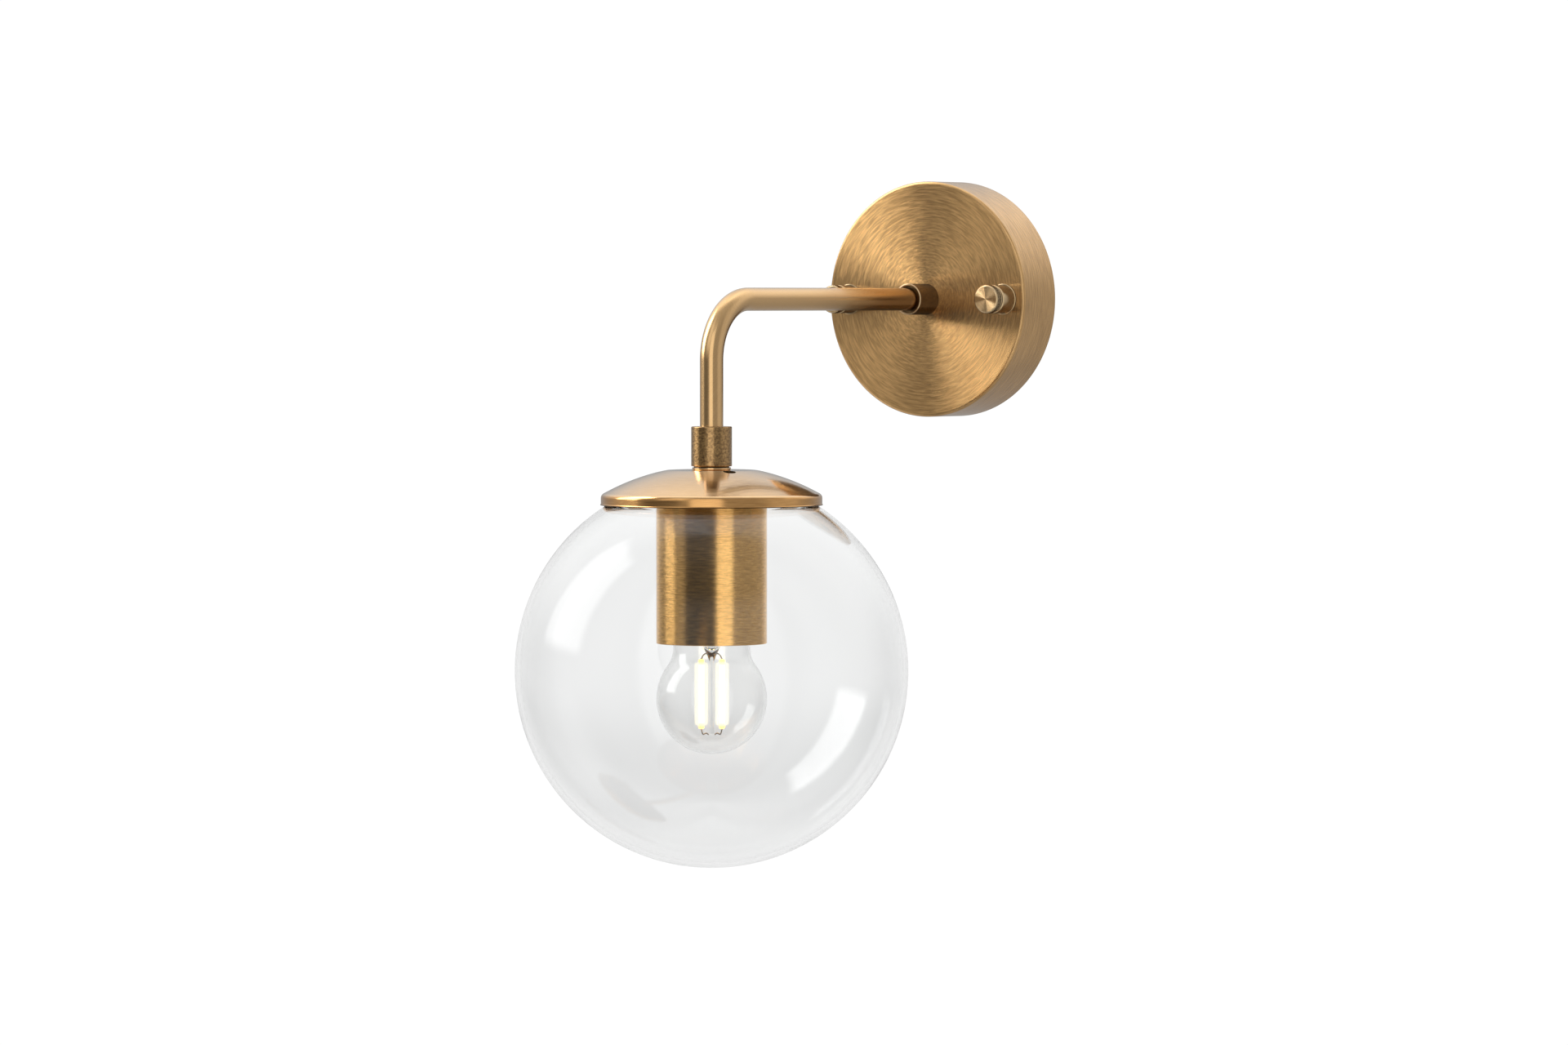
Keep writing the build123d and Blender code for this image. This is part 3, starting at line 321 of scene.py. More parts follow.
def hung(x, y, z):
    """A place about the drop axis, which is upright at the arm's outer end."""
    return np.stack(np.broadcast_arrays(x, y - REACH, z), -1)


def walled(x, y, d):
    """A place about the arm's axis: d is the distance out from the wall."""
    return np.stack(np.broadcast_arrays(x, -d, y), -1)


def shifted(place, x, y=0.0):
    """The same kind of place about an axis that is moved aside by x and y."""
    return lambda a, b, h: place(a + x, b + y, h)


def rod(radius, low, high):
    """The outline of a solid rod from low to high."""
    return [(0, low), (radius, low), (radius, high), (0, high)]


def from_drop(points):
    """The distance of points from the drop axis."""
    return np.hypot(points[:, 0], points[:, 1] + REACH)


def round_grid(outline, place, columns=160):
    """The points (r cos t, r sin t, h) of an outline of (r, h), with t running once round."""
    t = np.linspace(0, 2 * np.pi, columns, endpoint=False)
    r, h = np.asarray(outline)[:, :1], np.asarray(outline)[:, 1:]
    return place(r * np.cos(t), r * np.sin(t), h)


def pierce(piece, *cutters):
    """Cuts closed cutters out of a closed mesh. The result is kept as plain faces with sharp edges at the holes."""
    for cutter in cutters:
        cut = piece.modifiers.new("hole", "BOOLEAN")
        cut.operation, cut.solver, cut.object = "DIFFERENCE", "MANIFOLD", cutter
    piece.data = bpy.data.meshes.new_from_object(piece.evaluated_get(bpy.context.evaluated_depsgraph_get()))
    piece.data.materials.clear()
    piece.modifiers.clear()
    for cutter in cutters:
        bpy.data.objects.remove(cutter)
    piece.data.set_sharp_from_angle(angle=math.radians(50))
    return piece


def dress(piece, body, finish, slot, *nodes):
    """Gives a piece its finish, its body and the nodes it stands for, and prints its size."""
    piece.data.materials.append(finish)
    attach(piece, body)
    if nodes:
        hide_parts(*nodes)
    print(f"{piece.name}: {len(piece.data.polygons)} faces, {[round(v / MM, 1) for v in piece.dimensions]} mm")
    return piece


def touch_up(piece, finish, chosen):
    """Gives a further finish to the faces whose centre and normal pass the test chosen(centres, normals)."""
    count = len(piece.data.polygons)
    centres, normals, index = np.empty(count * 3), np.empty(count * 3), np.empty(count, np.int32)
    piece.data.polygons.foreach_get("center", centres)
    piece.data.polygons.foreach_get("normal", normals)
    piece.data.polygons.foreach_get("material_index", index)
    piece.data.materials.append(finish)
    picked = chosen(centres.reshape(-1, 3), normals.reshape(-1, 3))
    index[picked] = len(piece.data.materials) - 1
    piece.data.polygons.foreach_set("material_index", index)
    print(f"{piece.name}: {int(picked.sum())} faces in {finish.name}")


print("surface helpers ready")

# %% [markdown]
# ## Brass
# All the metal outside is brass under thin lacquer, but each piece was finished in its own way: the canopy was spun
# and brushed in rings, the sleeve was brushed round, the dome was buffed, the fittings were left to darken. Brushed
# metal spreads a highlight across its scratches and keeps it narrow along them, which draws the bright fans on a
# spun disc. Scratches finer than a pixel can't be drawn one by one, so five reflections are blended, each with the
# normal leaned a bit further across the scratches. The few scratches that do show are a noise, stretched round the
# axis. Where one piece mirrors another, the real room is darker there than the painted one, so a mirrored piece gets
# painted shade: below its upper part, and only on rays that come off other metal, it has a share of a darker colour.
# The coupler gets a painted highlight there instead and looks paler in the dome.


# %% Brass finish
def brass(name, centre, axis, tone, shade, spread, gloss, specks=0.0, coat=0.0, marks=0.12, streaks=0.9,
          mirror_paint_share=0.0, seen=(0.02, 0.01, 0.004)):
    """Brass with scratches round an axis. tone and shade are its light and dark colours, spread is the step between
    the leaned normals, gloss the roughness of each reflection, marks the lean of the scratches that show, streaks
    how much they change the colour and specks how much small spots do. Where other metal mirrors it, all but its
    upper part shifts towards the colour seen, by the share given: painted shade where that colour is dark, a painted
    highlight where it is pale."""
    material, tree = blank(name)
    position = tree.node("TexCoord").out("Object")
    local = tree.vector("SUBTRACT", position, centre)
    along = tree.vector("DOT_PRODUCT", local, axis)
    outward = tree.vector("SUBTRACT", local, tree.scaled(axis, along))
    unit = tree.vector("NORMALIZE", outward)
    depth = tree.vector("LENGTH", outward) + 1.37 * along
    hair = tree.noise(tree.vector("ADD", tree.scaled(unit, 9.0), tree.scaled(axis, depth * 2400.0)), 1.0, 2.0)
    mark = tree.noise(tree.vector("ADD", tree.scaled(unit, 6.0), tree.scaled(axis, depth * 1500.0)), 1.0, 1.0)
    cloud = tree.noise(position, 60.0, 2.0)
    speck = tree.noise(position, 1100.0, 3.0)
    normal = tree.node("NewGeometry").out("Normal")
    round_axis = tree.vector("CROSS_PRODUCT", axis, unit)
    across = tree.vector("NORMALIZE", tree.vector("CROSS_PRODUCT", normal, round_axis))
    drift = 0.5 + (hair - 0.5) * 0.9 + (mark - 0.5) * streaks + (cloud - 0.5) * 0.6 + (speck - 0.5) * specks
    colour = tree.mix(drift, (*shade, 1), (*tone, 1))
    # Painted reflection: on rays off other metal, all below the upper part shifts towards the colour seen, dark for
    # painted shade; pale for the coupler's painted highlight.
    level = tree.node("SeparateXYZ", None, {0: position}).out("Z")
    upper = tree.step(level, 5 * MM, 25 * MM)
    rays = tree.node("LightPath")
    off_metal = rays.out("Is Glossy Ray") * (1 - rays.out("Is Singular Ray"))
    shift = off_metal * (1 - upper) * mirror_paint_share
    colour = tree.mix(shift, colour, (*seen, 1))
    rough = gloss + (mark - 0.5) * 0.1 + (cloud - 0.5) * 0.06
    lean = (hair - 0.5) * marks + (mark - 0.5) * (0.6 * marks)
    blend = None
    for lobe, share in ((-2, 1.0), (2, 0.5), (-1, 0.45), (1, 0.31), (0, 0.33)):
        bent = tree.vector("NORMALIZE", tree.vector("ADD", normal, tree.scaled(across, lean + lobe * spread)))
        shader = tree.node("BsdfPrincipled", None, {
            "Base Color": colour, "Metallic": 1.0, "Normal": bent, "Roughness": rough,
            "Coat Weight": coat, "Coat Roughness": 0.12, "Coat IOR": 1.5,
        })
        blend = tree.node("MixShader", None, {0: share, 1: blend, 2: shader}) if blend else shader
    tree.node("OutputMaterial", None, {"Surface": blend})
    return material


ARM_AXIS, DROP_AXIS = (0, 1, 0), (0, 0, 1)
WALL_CENTRE, DROP_CENTRE = (0, 0, 0), (0, -REACH, 0)
# Where other metal mirrors them, the canopy and arm get painted shade by the share given; the aged brass gets a pale
# painted highlight.
canopy_brass = brass("canopy_brass", WALL_CENTRE, ARM_AXIS, (0.88, 0.53, 0.215), (0.60, 0.35, 0.135), spread=0.17,
                     gloss=0.22, coat=0.7, marks=0.06, streaks=2.5, mirror_paint_share=0.78)
arm_brass = brass("arm_brass", WALL_CENTRE, ARM_AXIS, (0.88, 0.56, 0.255), (0.76, 0.47, 0.20), spread=0.05,
                  gloss=0.18, coat=0.7, marks=0.05, mirror_paint_share=0.7)
dome_brass = brass("dome_brass", DROP_CENTRE, DROP_AXIS, (0.86, 0.55, 0.265), (0.74, 0.46, 0.21), spread=0.035,
                   gloss=0.085, coat=0.9, marks=0.04)
sleeve_brass = brass("sleeve_brass", DROP_CENTRE, DROP_AXIS, (0.88, 0.515, 0.175), (0.62, 0.35, 0.11), spread=0.14,
                     gloss=0.2, specks=0.9, marks=0.06, streaks=2.0)
aged_brass = brass("aged_brass", DROP_CENTRE, DROP_AXIS, (0.62, 0.375, 0.15), (0.26, 0.145, 0.055), spread=0.08,
                   gloss=0.22, specks=2.4, coat=0.5, mirror_paint_share=0.6, seen=(0.95, 0.74, 0.48))
print("brass finishes:", [m.name for m in bpy.data.materials if m.name.endswith("brass")])

# %% [markdown]
# ## Canopy
# The canopy is a spun cup, a millimetre thick, open to the wall. Its outline is one closed loop: the rim on the
# wall, the straight side, a small turned-over edge, the flat face and the way back inside. Two holes for the studs
# are cut afterwards.

# %% Canopy
CANOPY_R, CANOPY_D, CANOPY_WALL = 50 * MM, 24 * MM, 1 * MM
PIPE_HOLE, STUD_HOLE, STUD_X = 5.05 * MM, 2.25 * MM, 39.5 * MM
canopy_outline = rounded([
    (CANOPY_R - CANOPY_WALL, 0), (CANOPY_R, 0), (CANOPY_R, CANOPY_D), (PIPE_HOLE, CANOPY_D),
    (PIPE_HOLE, CANOPY_D - CANOPY_WALL), (CANOPY_R - CANOPY_WALL, CANOPY_D - CANOPY_WALL),
], np.array([0.2, 0.2, 1.3, 0.05, 0.05, 0.6]) * MM, closed=True)
canopy = skin("canopy_shell", round_grid(canopy_outline, walled, 256), closed=True)
plug = rod(STUD_HOLE, CANOPY_D - 2 * MM, CANOPY_D + 1 * MM)
pierce(canopy, *[skin("stud_hole", round_grid(plug, shifted(walled, x), 32)) for x in (-STUD_X, STUD_X)])
dress(canopy, "lamp", canopy_brass, "canopy_brass", "canopy")

# %% [markdown]
# ## Arm
# The arm is one tube, bent once. A sweep modifier could carry a circle along a curve, but the path is only a
# straight, a quarter circle and a straight, so its points and normals are written down directly. The tube is hollow:
# the outer wall runs one way along the path and the bore comes back.

# %% Arm
BEND, TUBE_R, TUBE_WALL = 25 * MM, 4.75 * MM, 0.9 * MM
TUBE_START, TUBE_END = 31.1 * MM, -58.1 * MM
OUT_ROWS, BEND_ROWS, DOWN_ROWS = 29, 40, 12
run_out = np.linspace(TUBE_START, REACH - BEND, OUT_ROWS + 1)[:-1]
bend = np.radians(np.linspace(0, 90, BEND_ROWS))
run_down = np.linspace(-BEND, TUBE_END, DOWN_ROWS + 1)[1:]
path_y = np.concatenate([-run_out, -REACH + BEND - BEND * np.sin(bend), np.full(DOWN_ROWS, -REACH)])
path_z = np.concatenate([np.zeros(OUT_ROWS), -BEND + BEND * np.cos(bend), run_down])
lean = np.concatenate([np.zeros(OUT_ROWS), bend, np.full(DOWN_ROWS, math.pi / 2)])


def tube_rows(radius, columns=72):
    """Circles square to the path: its point + radius (cos t along X, sin t along the path's own normal)."""
    t = np.linspace(0, 2 * np.pi, columns, endpoint=False)
    side = np.stack(np.broadcast_arrays(radius * np.cos(t), 0, 0), -1)
    up = np.stack([np.zeros_like(lean), -np.sin(lean), np.cos(lean)], -1)
    centre = np.stack([np.zeros_like(path_y), path_y, path_z], -1)
    return centre[:, None] + side + radius * np.sin(t)[None, :, None] * up[:, None]


tube = np.concatenate([tube_rows(TUBE_R), tube_rows(TUBE_R - TUBE_WALL)[::-1]])
arm = skin("arm_bent_tube", tube, closed=True)
dress(arm, "lamp", arm_brass, "arm_brass", "arm_tube")

# %% [markdown]
# ## Collar and coupler
# Two short turned bushes join the arm: the collar at the wall, with a thin lip round its mouth, and the heavier
# coupler, which stands on the dome with a bright rounded foot below a fine groove. Both are darker than the rest,
# with specks where the lacquer has aged. The collar's lip and the coupler's foot were polished, and the lip's paler
# tone also paints in part of the highlight on its rim. The groove is painted nearly black as shade. So some of
# their faces get a second finish.

# %% Collar and coupler
BUSH_BORE, MOUTH_R, MOUTH_START = 4.85 * MM, 5.7 * MM, 35.6 * MM
COLLAR_R, COLLAR_END, LIP_START = 6.6 * MM, 37.6 * MM, 36.5 * MM
collar_outline = rounded([
    (BUSH_BORE, CANOPY_D), (COLLAR_R, CANOPY_D), (COLLAR_R, COLLAR_END), (MOUTH_R, COLLAR_END),
    (MOUTH_R, MOUTH_START), (BUSH_BORE, MOUTH_START),
], np.array([0.05, 0.15, 0.4, 0.4, 0.1, 0.05]) * MM, closed=True)
# Where other metal mirrors the collar, it gets painted shade by the share given.
collar_brass = brass("collar_brass", WALL_CENTRE, ARM_AXIS, (0.60, 0.38, 0.165), (0.24, 0.135, 0.05),
                     spread=0.08, gloss=0.2, specks=1.6, coat=0.5, mirror_paint_share=0.5)
collar = skin("arm_collar_turned", round_grid(collar_outline, walled, 96), closed=True)
dress(collar, "lamp", collar_brass, "aged_brass", "arm_collar")
# The lip is polished, and its paler brass also paints in part of the highlight on its rim.
lip_highlight_brass = brass("lip_highlight_brass", WALL_CENTRE, ARM_AXIS, (0.92, 0.66, 0.38), (0.78, 0.52, 0.27),
                  spread=0.2, gloss=0.2, coat=0.8)
touch_up(collar, lip_highlight_brass,
         lambda c, n: (-c[:, 1] > LIP_START) & (np.hypot(c[:, 0], c[:, 2]) > MOUTH_R + 0.05 * MM))
COUPLER_TOP, COUPLER_LOW, COUPLER_R = -51.6 * MM, -67.8 * MM, 8.3 * MM
FOOT_LOW, FOOT_R, GROOVE_R, GROOVE_LOW = -69.3 * MM, 7.9 * MM, 7.2 * MM, -68.3 * MM
coupler_outline = rounded([
    (PIPE_HOLE, FOOT_LOW), (FOOT_R, FOOT_LOW), (FOOT_R, GROOVE_LOW), (GROOVE_R, GROOVE_LOW),
    (GROOVE_R, COUPLER_LOW), (COUPLER_R, COUPLER_LOW), (COUPLER_R, COUPLER_TOP), (BUSH_BORE, COUPLER_TOP),
], np.array([0.05, 0.4, 0.1, 0.05, 0.05, 0.35, 0.45, 0.1]) * MM, closed=True)
coupler = skin("coupler_turned", round_grid(coupler_outline, hung, 96), closed=True)
dress(coupler, "lamp", aged_brass, "aged_brass", "coupler")
# Painted shade: a nearly black brass for the coupler's groove, under the dome's lip and on the vent walls.
painted_shade_brass = brass("painted_shade_brass", DROP_CENTRE, DROP_AXIS, (0.10, 0.055, 0.02), (0.03, 0.016, 0.006),
                   spread=0.08, gloss=0.4)
HAIR = 0.02 * MM
touch_up(coupler, dome_brass, lambda c, n: (c[:, 2] < GROOVE_LOW) & (from_drop(c) > GROOVE_R))
# The groove under the coupler gets the painted shade.
touch_up(coupler, painted_shade_brass, lambda c, n: (c[:, 2] > GROOVE_LOW - HAIR) & (c[:, 2] < COUPLER_LOW + HAIR)
         & (from_drop(c) > 6 * MM) & (from_drop(c) < FOOT_R - 0.05 * MM))

# %% [markdown]
# ## Dome cap
# A shallow spun dome covers the globe's neck. Its top is flat, its crown is part of a large sphere, it turns over a
# soft shoulder into a short straight rim, and the rim ends in a rolled lip. The inside follows the same curve a wall
# lower. Three holes near the middle let warm air out. A grid can't have holes, so they are cut afterwards with three
# plugs. The rim was left redder than the buffed crown. Under the lip and on the walls of the holes the brass is
# painted nearly black as shade.

# %% Dome cap
CROWN_R, DOME_R, DOME_WALL, SEAT_R = 90 * MM, 45 * MM, 1 * MM, 18.3 * MM
RIM_HEIGHT, LIP_OUT = 4.4 * MM, 0.2 * MM
VENT_R, VENT_CIRCLE, VENT_TURNS = 2.6 * MM, 19.5 * MM, (-32, 88, 208)
CROWN_Z = FOOT_LOW - math.sqrt(CROWN_R**2 - SEAT_R**2)
SHOULDER = CROWN_Z + math.sqrt(CROWN_R**2 - DOME_R**2)
RIM_LOW = SHOULDER - RIM_HEIGHT
LIP = RIM_LOW + 0.3 * MM


def crown(radius, start, end, steps):
    """A spun curve: the height of a sphere about the crown's centre at each distance from the axis."""
    r = np.linspace(start, end, steps)
    return np.column_stack([r, CROWN_Z + np.sqrt(radius**2 - r**2)])


def flat_edge(radius, level, corner, blend):
    """The soft edge of the flat top: a run along the flat, an arc of the blend's radius, a run on to the crown."""
    start = math.sqrt(radius**2 - (level - CROWN_Z) ** 2)
    ahead = crown(radius, start + corner, start + corner, 1)[0]
    return rounded([(start - corner, level), (start, level), tuple(ahead)], np.array([0, blend, 0]), steps=12)


shoulder_in, seat_in = 2.6 * MM, 3.5 * MM
crown_end = crown(CROWN_R, DOME_R - shoulder_in, DOME_R - shoulder_in, 1)[0]
rim = rounded([
    tuple(crown_end), (DOME_R, SHOULDER + 0.1 * MM), (DOME_R, RIM_LOW + 0.9 * MM),
    (DOME_R + LIP_OUT, RIM_LOW + 0.6 * MM), (DOME_R + LIP_OUT, LIP), (DOME_R - DOME_WALL, LIP),
    (DOME_R - DOME_WALL, SHOULDER - 1.5 * MM),
], np.array([0, 3.6, 0.3, 0.3, 0.3, 0.2, 0]) * MM, steps=11)
inner_edge = flat_edge(CROWN_R - DOME_WALL, FOOT_LOW - DOME_WALL, seat_in, 14 * MM)[::-1]
dome_outline = np.vstack([
    [(PIPE_HOLE, FOOT_LOW)], flat_edge(CROWN_R, FOOT_LOW, seat_in, 15 * MM),
    crown(CROWN_R, SEAT_R + seat_in, DOME_R - shoulder_in, 40)[1:], rim[1:-1],
    crown(CROWN_R - DOME_WALL, DOME_R - 2.2 * MM, inner_edge[0, 0], 30)[:-1], inner_edge,
    [(PIPE_HOLE, FOOT_LOW - DOME_WALL)],
])
dome = skin("dome_spun", round_grid(dome_outline, hung, 256), closed=True)
plug = rod(VENT_R, -80 * MM, -66 * MM)
vents = [shifted(hung, VENT_CIRCLE * math.cos(v), VENT_CIRCLE * math.sin(v)) for v in np.radians(VENT_TURNS)]
pierce(dome, *[skin("vent", round_grid(plug, vent, 32)) for vent in vents])
dress(dome, "lamp", dome_brass, "dome_brass", "dome_cap")
rim_brass = brass("rim_brass", DROP_CENTRE, DROP_AXIS, (0.86, 0.47, 0.165), (0.66, 0.34, 0.11),
                  spread=0.06, gloss=0.14, coat=0.5, marks=0.05, streaks=1.6)
touch_up(dome, rim_brass, lambda c, n: (from_drop(c) > DOME_R - 1.1 * MM) & (c[:, 2] < SHOULDER))
# Painted shade under the rolled lip and on the walls of the vents.
touch_up(dome, painted_shade_brass, lambda c, n: (c[:, 2] < RIM_LOW + 0.62 * MM) & (n[:, 2] > -0.9)
         | (np.abs(from_drop(c) - VENT_CIRCLE) < 3.5 * MM) & (np.abs(n[:, 2]) < 0.3))

# %% [markdown]
# ## Lampholder sleeve
# A plain brass cup hides the lampholder. Its lower edge is thin and lightly broken, its top corner is rounded.

# %% Sleeve
SLEEVE_R, SLEEVE_WALL, SLEEVE_TOP, SLEEVE_LOW = 22.5 * MM, 1 * MM, -72.8 * MM, -139.8 * MM
sleeve_outline = rounded([
    (PIPE_HOLE, SLEEVE_TOP), (SLEEVE_R, SLEEVE_TOP), (SLEEVE_R, SLEEVE_LOW), (SLEEVE_R - SLEEVE_WALL, SLEEVE_LOW),
    (SLEEVE_R - SLEEVE_WALL, SLEEVE_TOP - SLEEVE_WALL), (PIPE_HOLE, SLEEVE_TOP - SLEEVE_WALL),
], np.array([0.05, 1.5, 0.25, 0.25, 0.5, 0.05]) * MM, closed=True)
sleeve = skin("sleeve_drawn", round_grid(sleeve_outline, hung, 192), closed=True)
dress(sleeve, "lamp", sleeve_brass, "sleeve_brass", "lampholder_sleeve")

# %% [markdown]
# ## Thumb nuts and washers
# Two blind nuts hold the canopy on its studs. Each is a plain barrel on a thin washer, a narrow groove, and a head
# with a knurled edge, a bevel and a face turned in fine rings, which shows fans like the canopy's. The knurl is a
# ripple of the radius, on the head's upright edge alone.

# %% Thumb nuts
NUT_BASE, NUT_R, NUT_BORE, NUT_NECK, WASHER_R = 24.6 * MM, 6 * MM, 2.08 * MM, 4.5 * MM, 6.5 * MM
nut_levels = NUT_BASE + np.array([8.1, 9, 9.2, 12.3, 12.35, 12.8]) * MM
BARREL_END, HEAD, KNURL_START, BEVEL, KNURL_END, NUT_FACE = nut_levels
nut_outline = rounded([
    (0, HEAD), (NUT_BORE, HEAD), (NUT_BORE, NUT_BASE), (NUT_R, NUT_BASE), (NUT_R, BARREL_END), (NUT_NECK, BARREL_END),
    (NUT_NECK, HEAD), (NUT_R, HEAD), (NUT_R, BEVEL), (NUT_R - 0.6 * MM, NUT_FACE), (0, NUT_FACE),
], np.array([0, 0.1, 0.1, 0.2, 0.5, 0.15, 0.15, 0.2, 0.05, 0.05, 0]) * MM, steps=4)
knurl_rows = np.column_stack([np.full(6, NUT_R), NUT_BASE + np.linspace(9.5, 12.0, 6) * MM])
bevel_row = np.flatnonzero(nut_outline[:, 1] > BEVEL - 0.1 * MM)[0]
nut_outline = np.insert(nut_outline, bevel_row, knurl_rows, 0)
washer_outline = rounded([
    (STUD_HOLE, CANOPY_D), (WASHER_R, CANOPY_D), (WASHER_R, NUT_BASE), (STUD_HOLE, NUT_BASE),
], np.array([0.05, 0.15, 0.25, 0.05]) * MM, closed=True, steps=4)


def knurled(outline, centre, ridges=40, depth=0.28 * MM):
    """The turned grid with a ripple: r - depth (1 - cos(ridges t)) / 2, only on the head's upright edge."""
    t = np.linspace(0, 2 * np.pi, ridges * 6, endpoint=False)
    r, d = outline[:, :1], outline[:, 1:]
    edge = (r > NUT_R - 0.3 * MM) & (d > KNURL_START) & (d < KNURL_END)
    r = r - edge * depth * (1 - np.cos(ridges * t)) / 2
    return walled(centre + r * np.cos(t), r * np.sin(t), d)


for side, x in (("left", -STUD_X), ("right", STUD_X)):
    # Where other metal mirrors a nut's barrel and washer, they get painted shade by the share given.
    nut_brass = brass(f"turned_brass_{side}", (x, 0, 0), ARM_AXIS, (0.94, 0.70, 0.40), (0.70, 0.47, 0.23),
                      spread=0.03, gloss=0.12, coat=0.8, marks=0.04, mirror_paint_share=0.65)
    face_brass = brass(f"face_brass_{side}", (x, 0, 0), ARM_AXIS, (0.92, 0.66, 0.36), (0.62, 0.40, 0.19),
                       spread=0.19, gloss=0.13, coat=0.6)
    washer = skin(f"washer_{side}", round_grid(washer_outline, shifted(walled, x), 96), closed=True)
    dress(washer, f"thumb_washer_{side}", nut_brass, "turned_brass", f"thumb_washer_{side}")
    nut = skin(f"knurled_nut_{side}", knurled(nut_outline, x))
    dress(nut, f"thumb_nut_{side}", nut_brass, "turned_brass", f"thumb_nut_{side}")
    touch_up(nut, face_brass, lambda c, n: (n[:, 1] < -0.95) & (-c[:, 1] > NUT_FACE - 0.3 * MM))

# %% [markdown]
# ## Glass
# The globe and the bulb are clear glass with two skins each, so light bends at both and the rim of the globe darkens
# by itself. A trace of absorption inside the glass gives the edge its grey-green, since a sight line there runs
# through several centimetres of glass. Blown glass is never quite even, so a slow ripple moves the normal a little.


# %% Glass finish
def glass(name, tint, ripple, absorb, density):
    """Clear glass: a slow noise ripples its surface and tints it a little, and absorption darkens long paths."""
    material, tree = blank(name)
    position = tree.node("TexCoord").out("Object")
    slow = tree.noise(position, 26.0, 1.0)
    wave = tree.node("Bump", None, {"Strength": ripple, "Distance": 0.004, "Height": slow})
    colour = tree.mix(slow, (1, 1, 1, 1), (*tint, 1))
    volume = tree.node("VolumeAbsorption", None, {"Color": (*absorb, 1), "Density": density})
    tree.surface({
        "Base Color": colour, "Roughness": 0.0, "Normal": wave, "IOR": 1.4, "Transmission Weight": 1.0,
    }, Volume=volume)
    return material


globe_glass = glass("globe_glass", (0.985, 0.99, 0.988), 0.02, (0.62, 0.68, 0.65), 4.5)
bulb_glass = glass("bulb_glass", (0.975, 0.975, 0.97), 0.02, (0.55, 0.56, 0.52), 40.0)
print("glass ready")

# %% [markdown]
# ## Globe
# The globe is a sphere with a short straight neck that goes up inside the dome's rim. Its outline runs from the
# bottom up the outside, over the fire-polished lip of the neck, and down the inside to the bottom again.

# %% Globe
GLOBE_R, GLOBE_WALL, NECK_R, NECK_TOP = 80 * MM, 2.2 * MM, 41 * MM, -78.8 * MM
RIM_GAP = NECK_RISE = 0.4 * MM
GLOBE_Z = RIM_LOW - RIM_GAP - math.sqrt(GLOBE_R**2 - (DOME_R - DOME_WALL) ** 2)
INNER_R, NECK_IN = GLOBE_R - GLOBE_WALL, NECK_R - GLOBE_WALL
outer_stop = math.degrees(math.acos(NECK_R / GLOBE_R)) - 1.6
inner_stop = math.degrees(math.acos(NECK_IN / INNER_R)) - 1.2
outside = arc((0, GLOBE_Z), GLOBE_R, -90, outer_stop, 110)
inside = arc((0, GLOBE_Z), INNER_R, inner_stop, -90, 110)
outer_foot = GLOBE_Z + math.sqrt(GLOBE_R**2 - NECK_R**2) + NECK_RISE
inner_foot = GLOBE_Z + math.sqrt(INNER_R**2 - NECK_IN**2) + NECK_RISE
neck = rounded([
    tuple(outside[-1]), (NECK_R, outer_foot), (NECK_R, NECK_TOP),
    (NECK_IN, NECK_TOP), (NECK_IN, inner_foot), tuple(inside[0]),
], np.array([0, 1.2, 0.95, 0.95, 1.2, 0]) * MM, steps=9)
outside[0, 0] = inside[-1, 0] = 0
globe = skin("globe_blown", round_grid(np.vstack([outside, neck[1:-1], inside]), hung, 224))
dress(globe, "globe", globe_glass, "globe_glass", "globe")

# %% [markdown]
# ## Bulb
# A round bulb of the small household size. Its glass is a thin pear: a collar in the metal cap, a flare, a short neck
# and a ball. Inside stand a glass stem with a thin pillar, two glowing rods and the wires that hold them.

# %% Bulb glass and stem
BULB_R, BULB_Z, BULB_WALL = 22.5 * MM, -162.4 * MM, 0.7 * MM
BULB_NECK, BULB_BLEND, BULB_COLLAR = 15.6 * MM, 12 * MM, 12.4 * MM
CAP_LOW, GLASS_TOP, FLARE_HEIGHT = -133.9 * MM, -131.5 * MM, 4.6 * MM


def pear(inset, steps):
    """Half the bulb's outline set in by a wall, from the pole up: ball, hollow blend, neck, flare and collar."""
    neck_r, blend_r, ball = BULB_NECK - inset, BULB_BLEND + inset, BULB_R - inset
    blend_z = math.sqrt((ball + blend_r) ** 2 - (neck_r + blend_r) ** 2)
    lean = math.degrees(math.asin(blend_z / (ball + blend_r)))
    ball_part = arc((0, BULB_Z), ball, -90, lean, steps)
    blend_part = arc((neck_r + blend_r, BULB_Z + blend_z), blend_r, 180 + lean, 180, 16)
    flare = rounded([
        tuple(blend_part[-1]), (neck_r, CAP_LOW - FLARE_HEIGHT), (BULB_COLLAR - inset, CAP_LOW),
        (BULB_COLLAR - inset, GLASS_TOP),
    ], np.array([0, 3, 3, 0]) * MM, steps=9)
    ball_part[0, 0] = 0
    return np.vstack([ball_part, blend_part[1:], flare[1:]])


bulb = skin("bulb_pear", round_grid(np.vstack([pear(0, 70), pear(BULB_WALL, 70)[::-1]]), hung, 128))
dress(bulb, "bulb", bulb_glass, "bulb_glass", "bulb_glass")
stem_outline = rounded(np.array([
    (0, -177.4), (0.9, -177.0), (0.9, -147.2), (1.7, -145.0), (3.2, -141.8), (4.5, -138.2), (5.6, -134.4),
    (11.5, -132.6), (11.5, -131.5), (5.4, -132.4), (3.9, -137.6), (2.5, -141.2), (0, -143.4),
]) * MM, np.array([0, 0.3, 2, 2, 4, 4, 3, 0.3, 0.3, 2, 3, 2, 0]) * MM, steps=7)
stem = skin("bulb_stem_drawn", round_grid(stem_outline, hung, 48))
dress(stem, "bulb", bulb_glass, "bulb_glass", "bulb_stem")

# %% [markdown]
# The rods glow warm white along their length and yellow where they fade at the ends. Their coating lets more light
# out towards the middle, so the edges of each rod look yellow too. Only the emission colour varies, by height and by
# how far the surface turns from the eye, and the strength stays on the shader's own socket. A lamp that is lit
# dazzles the eye, so a thin veil of light stands round each rod. It is densest where it faces the eye and fades out
# at its edge.

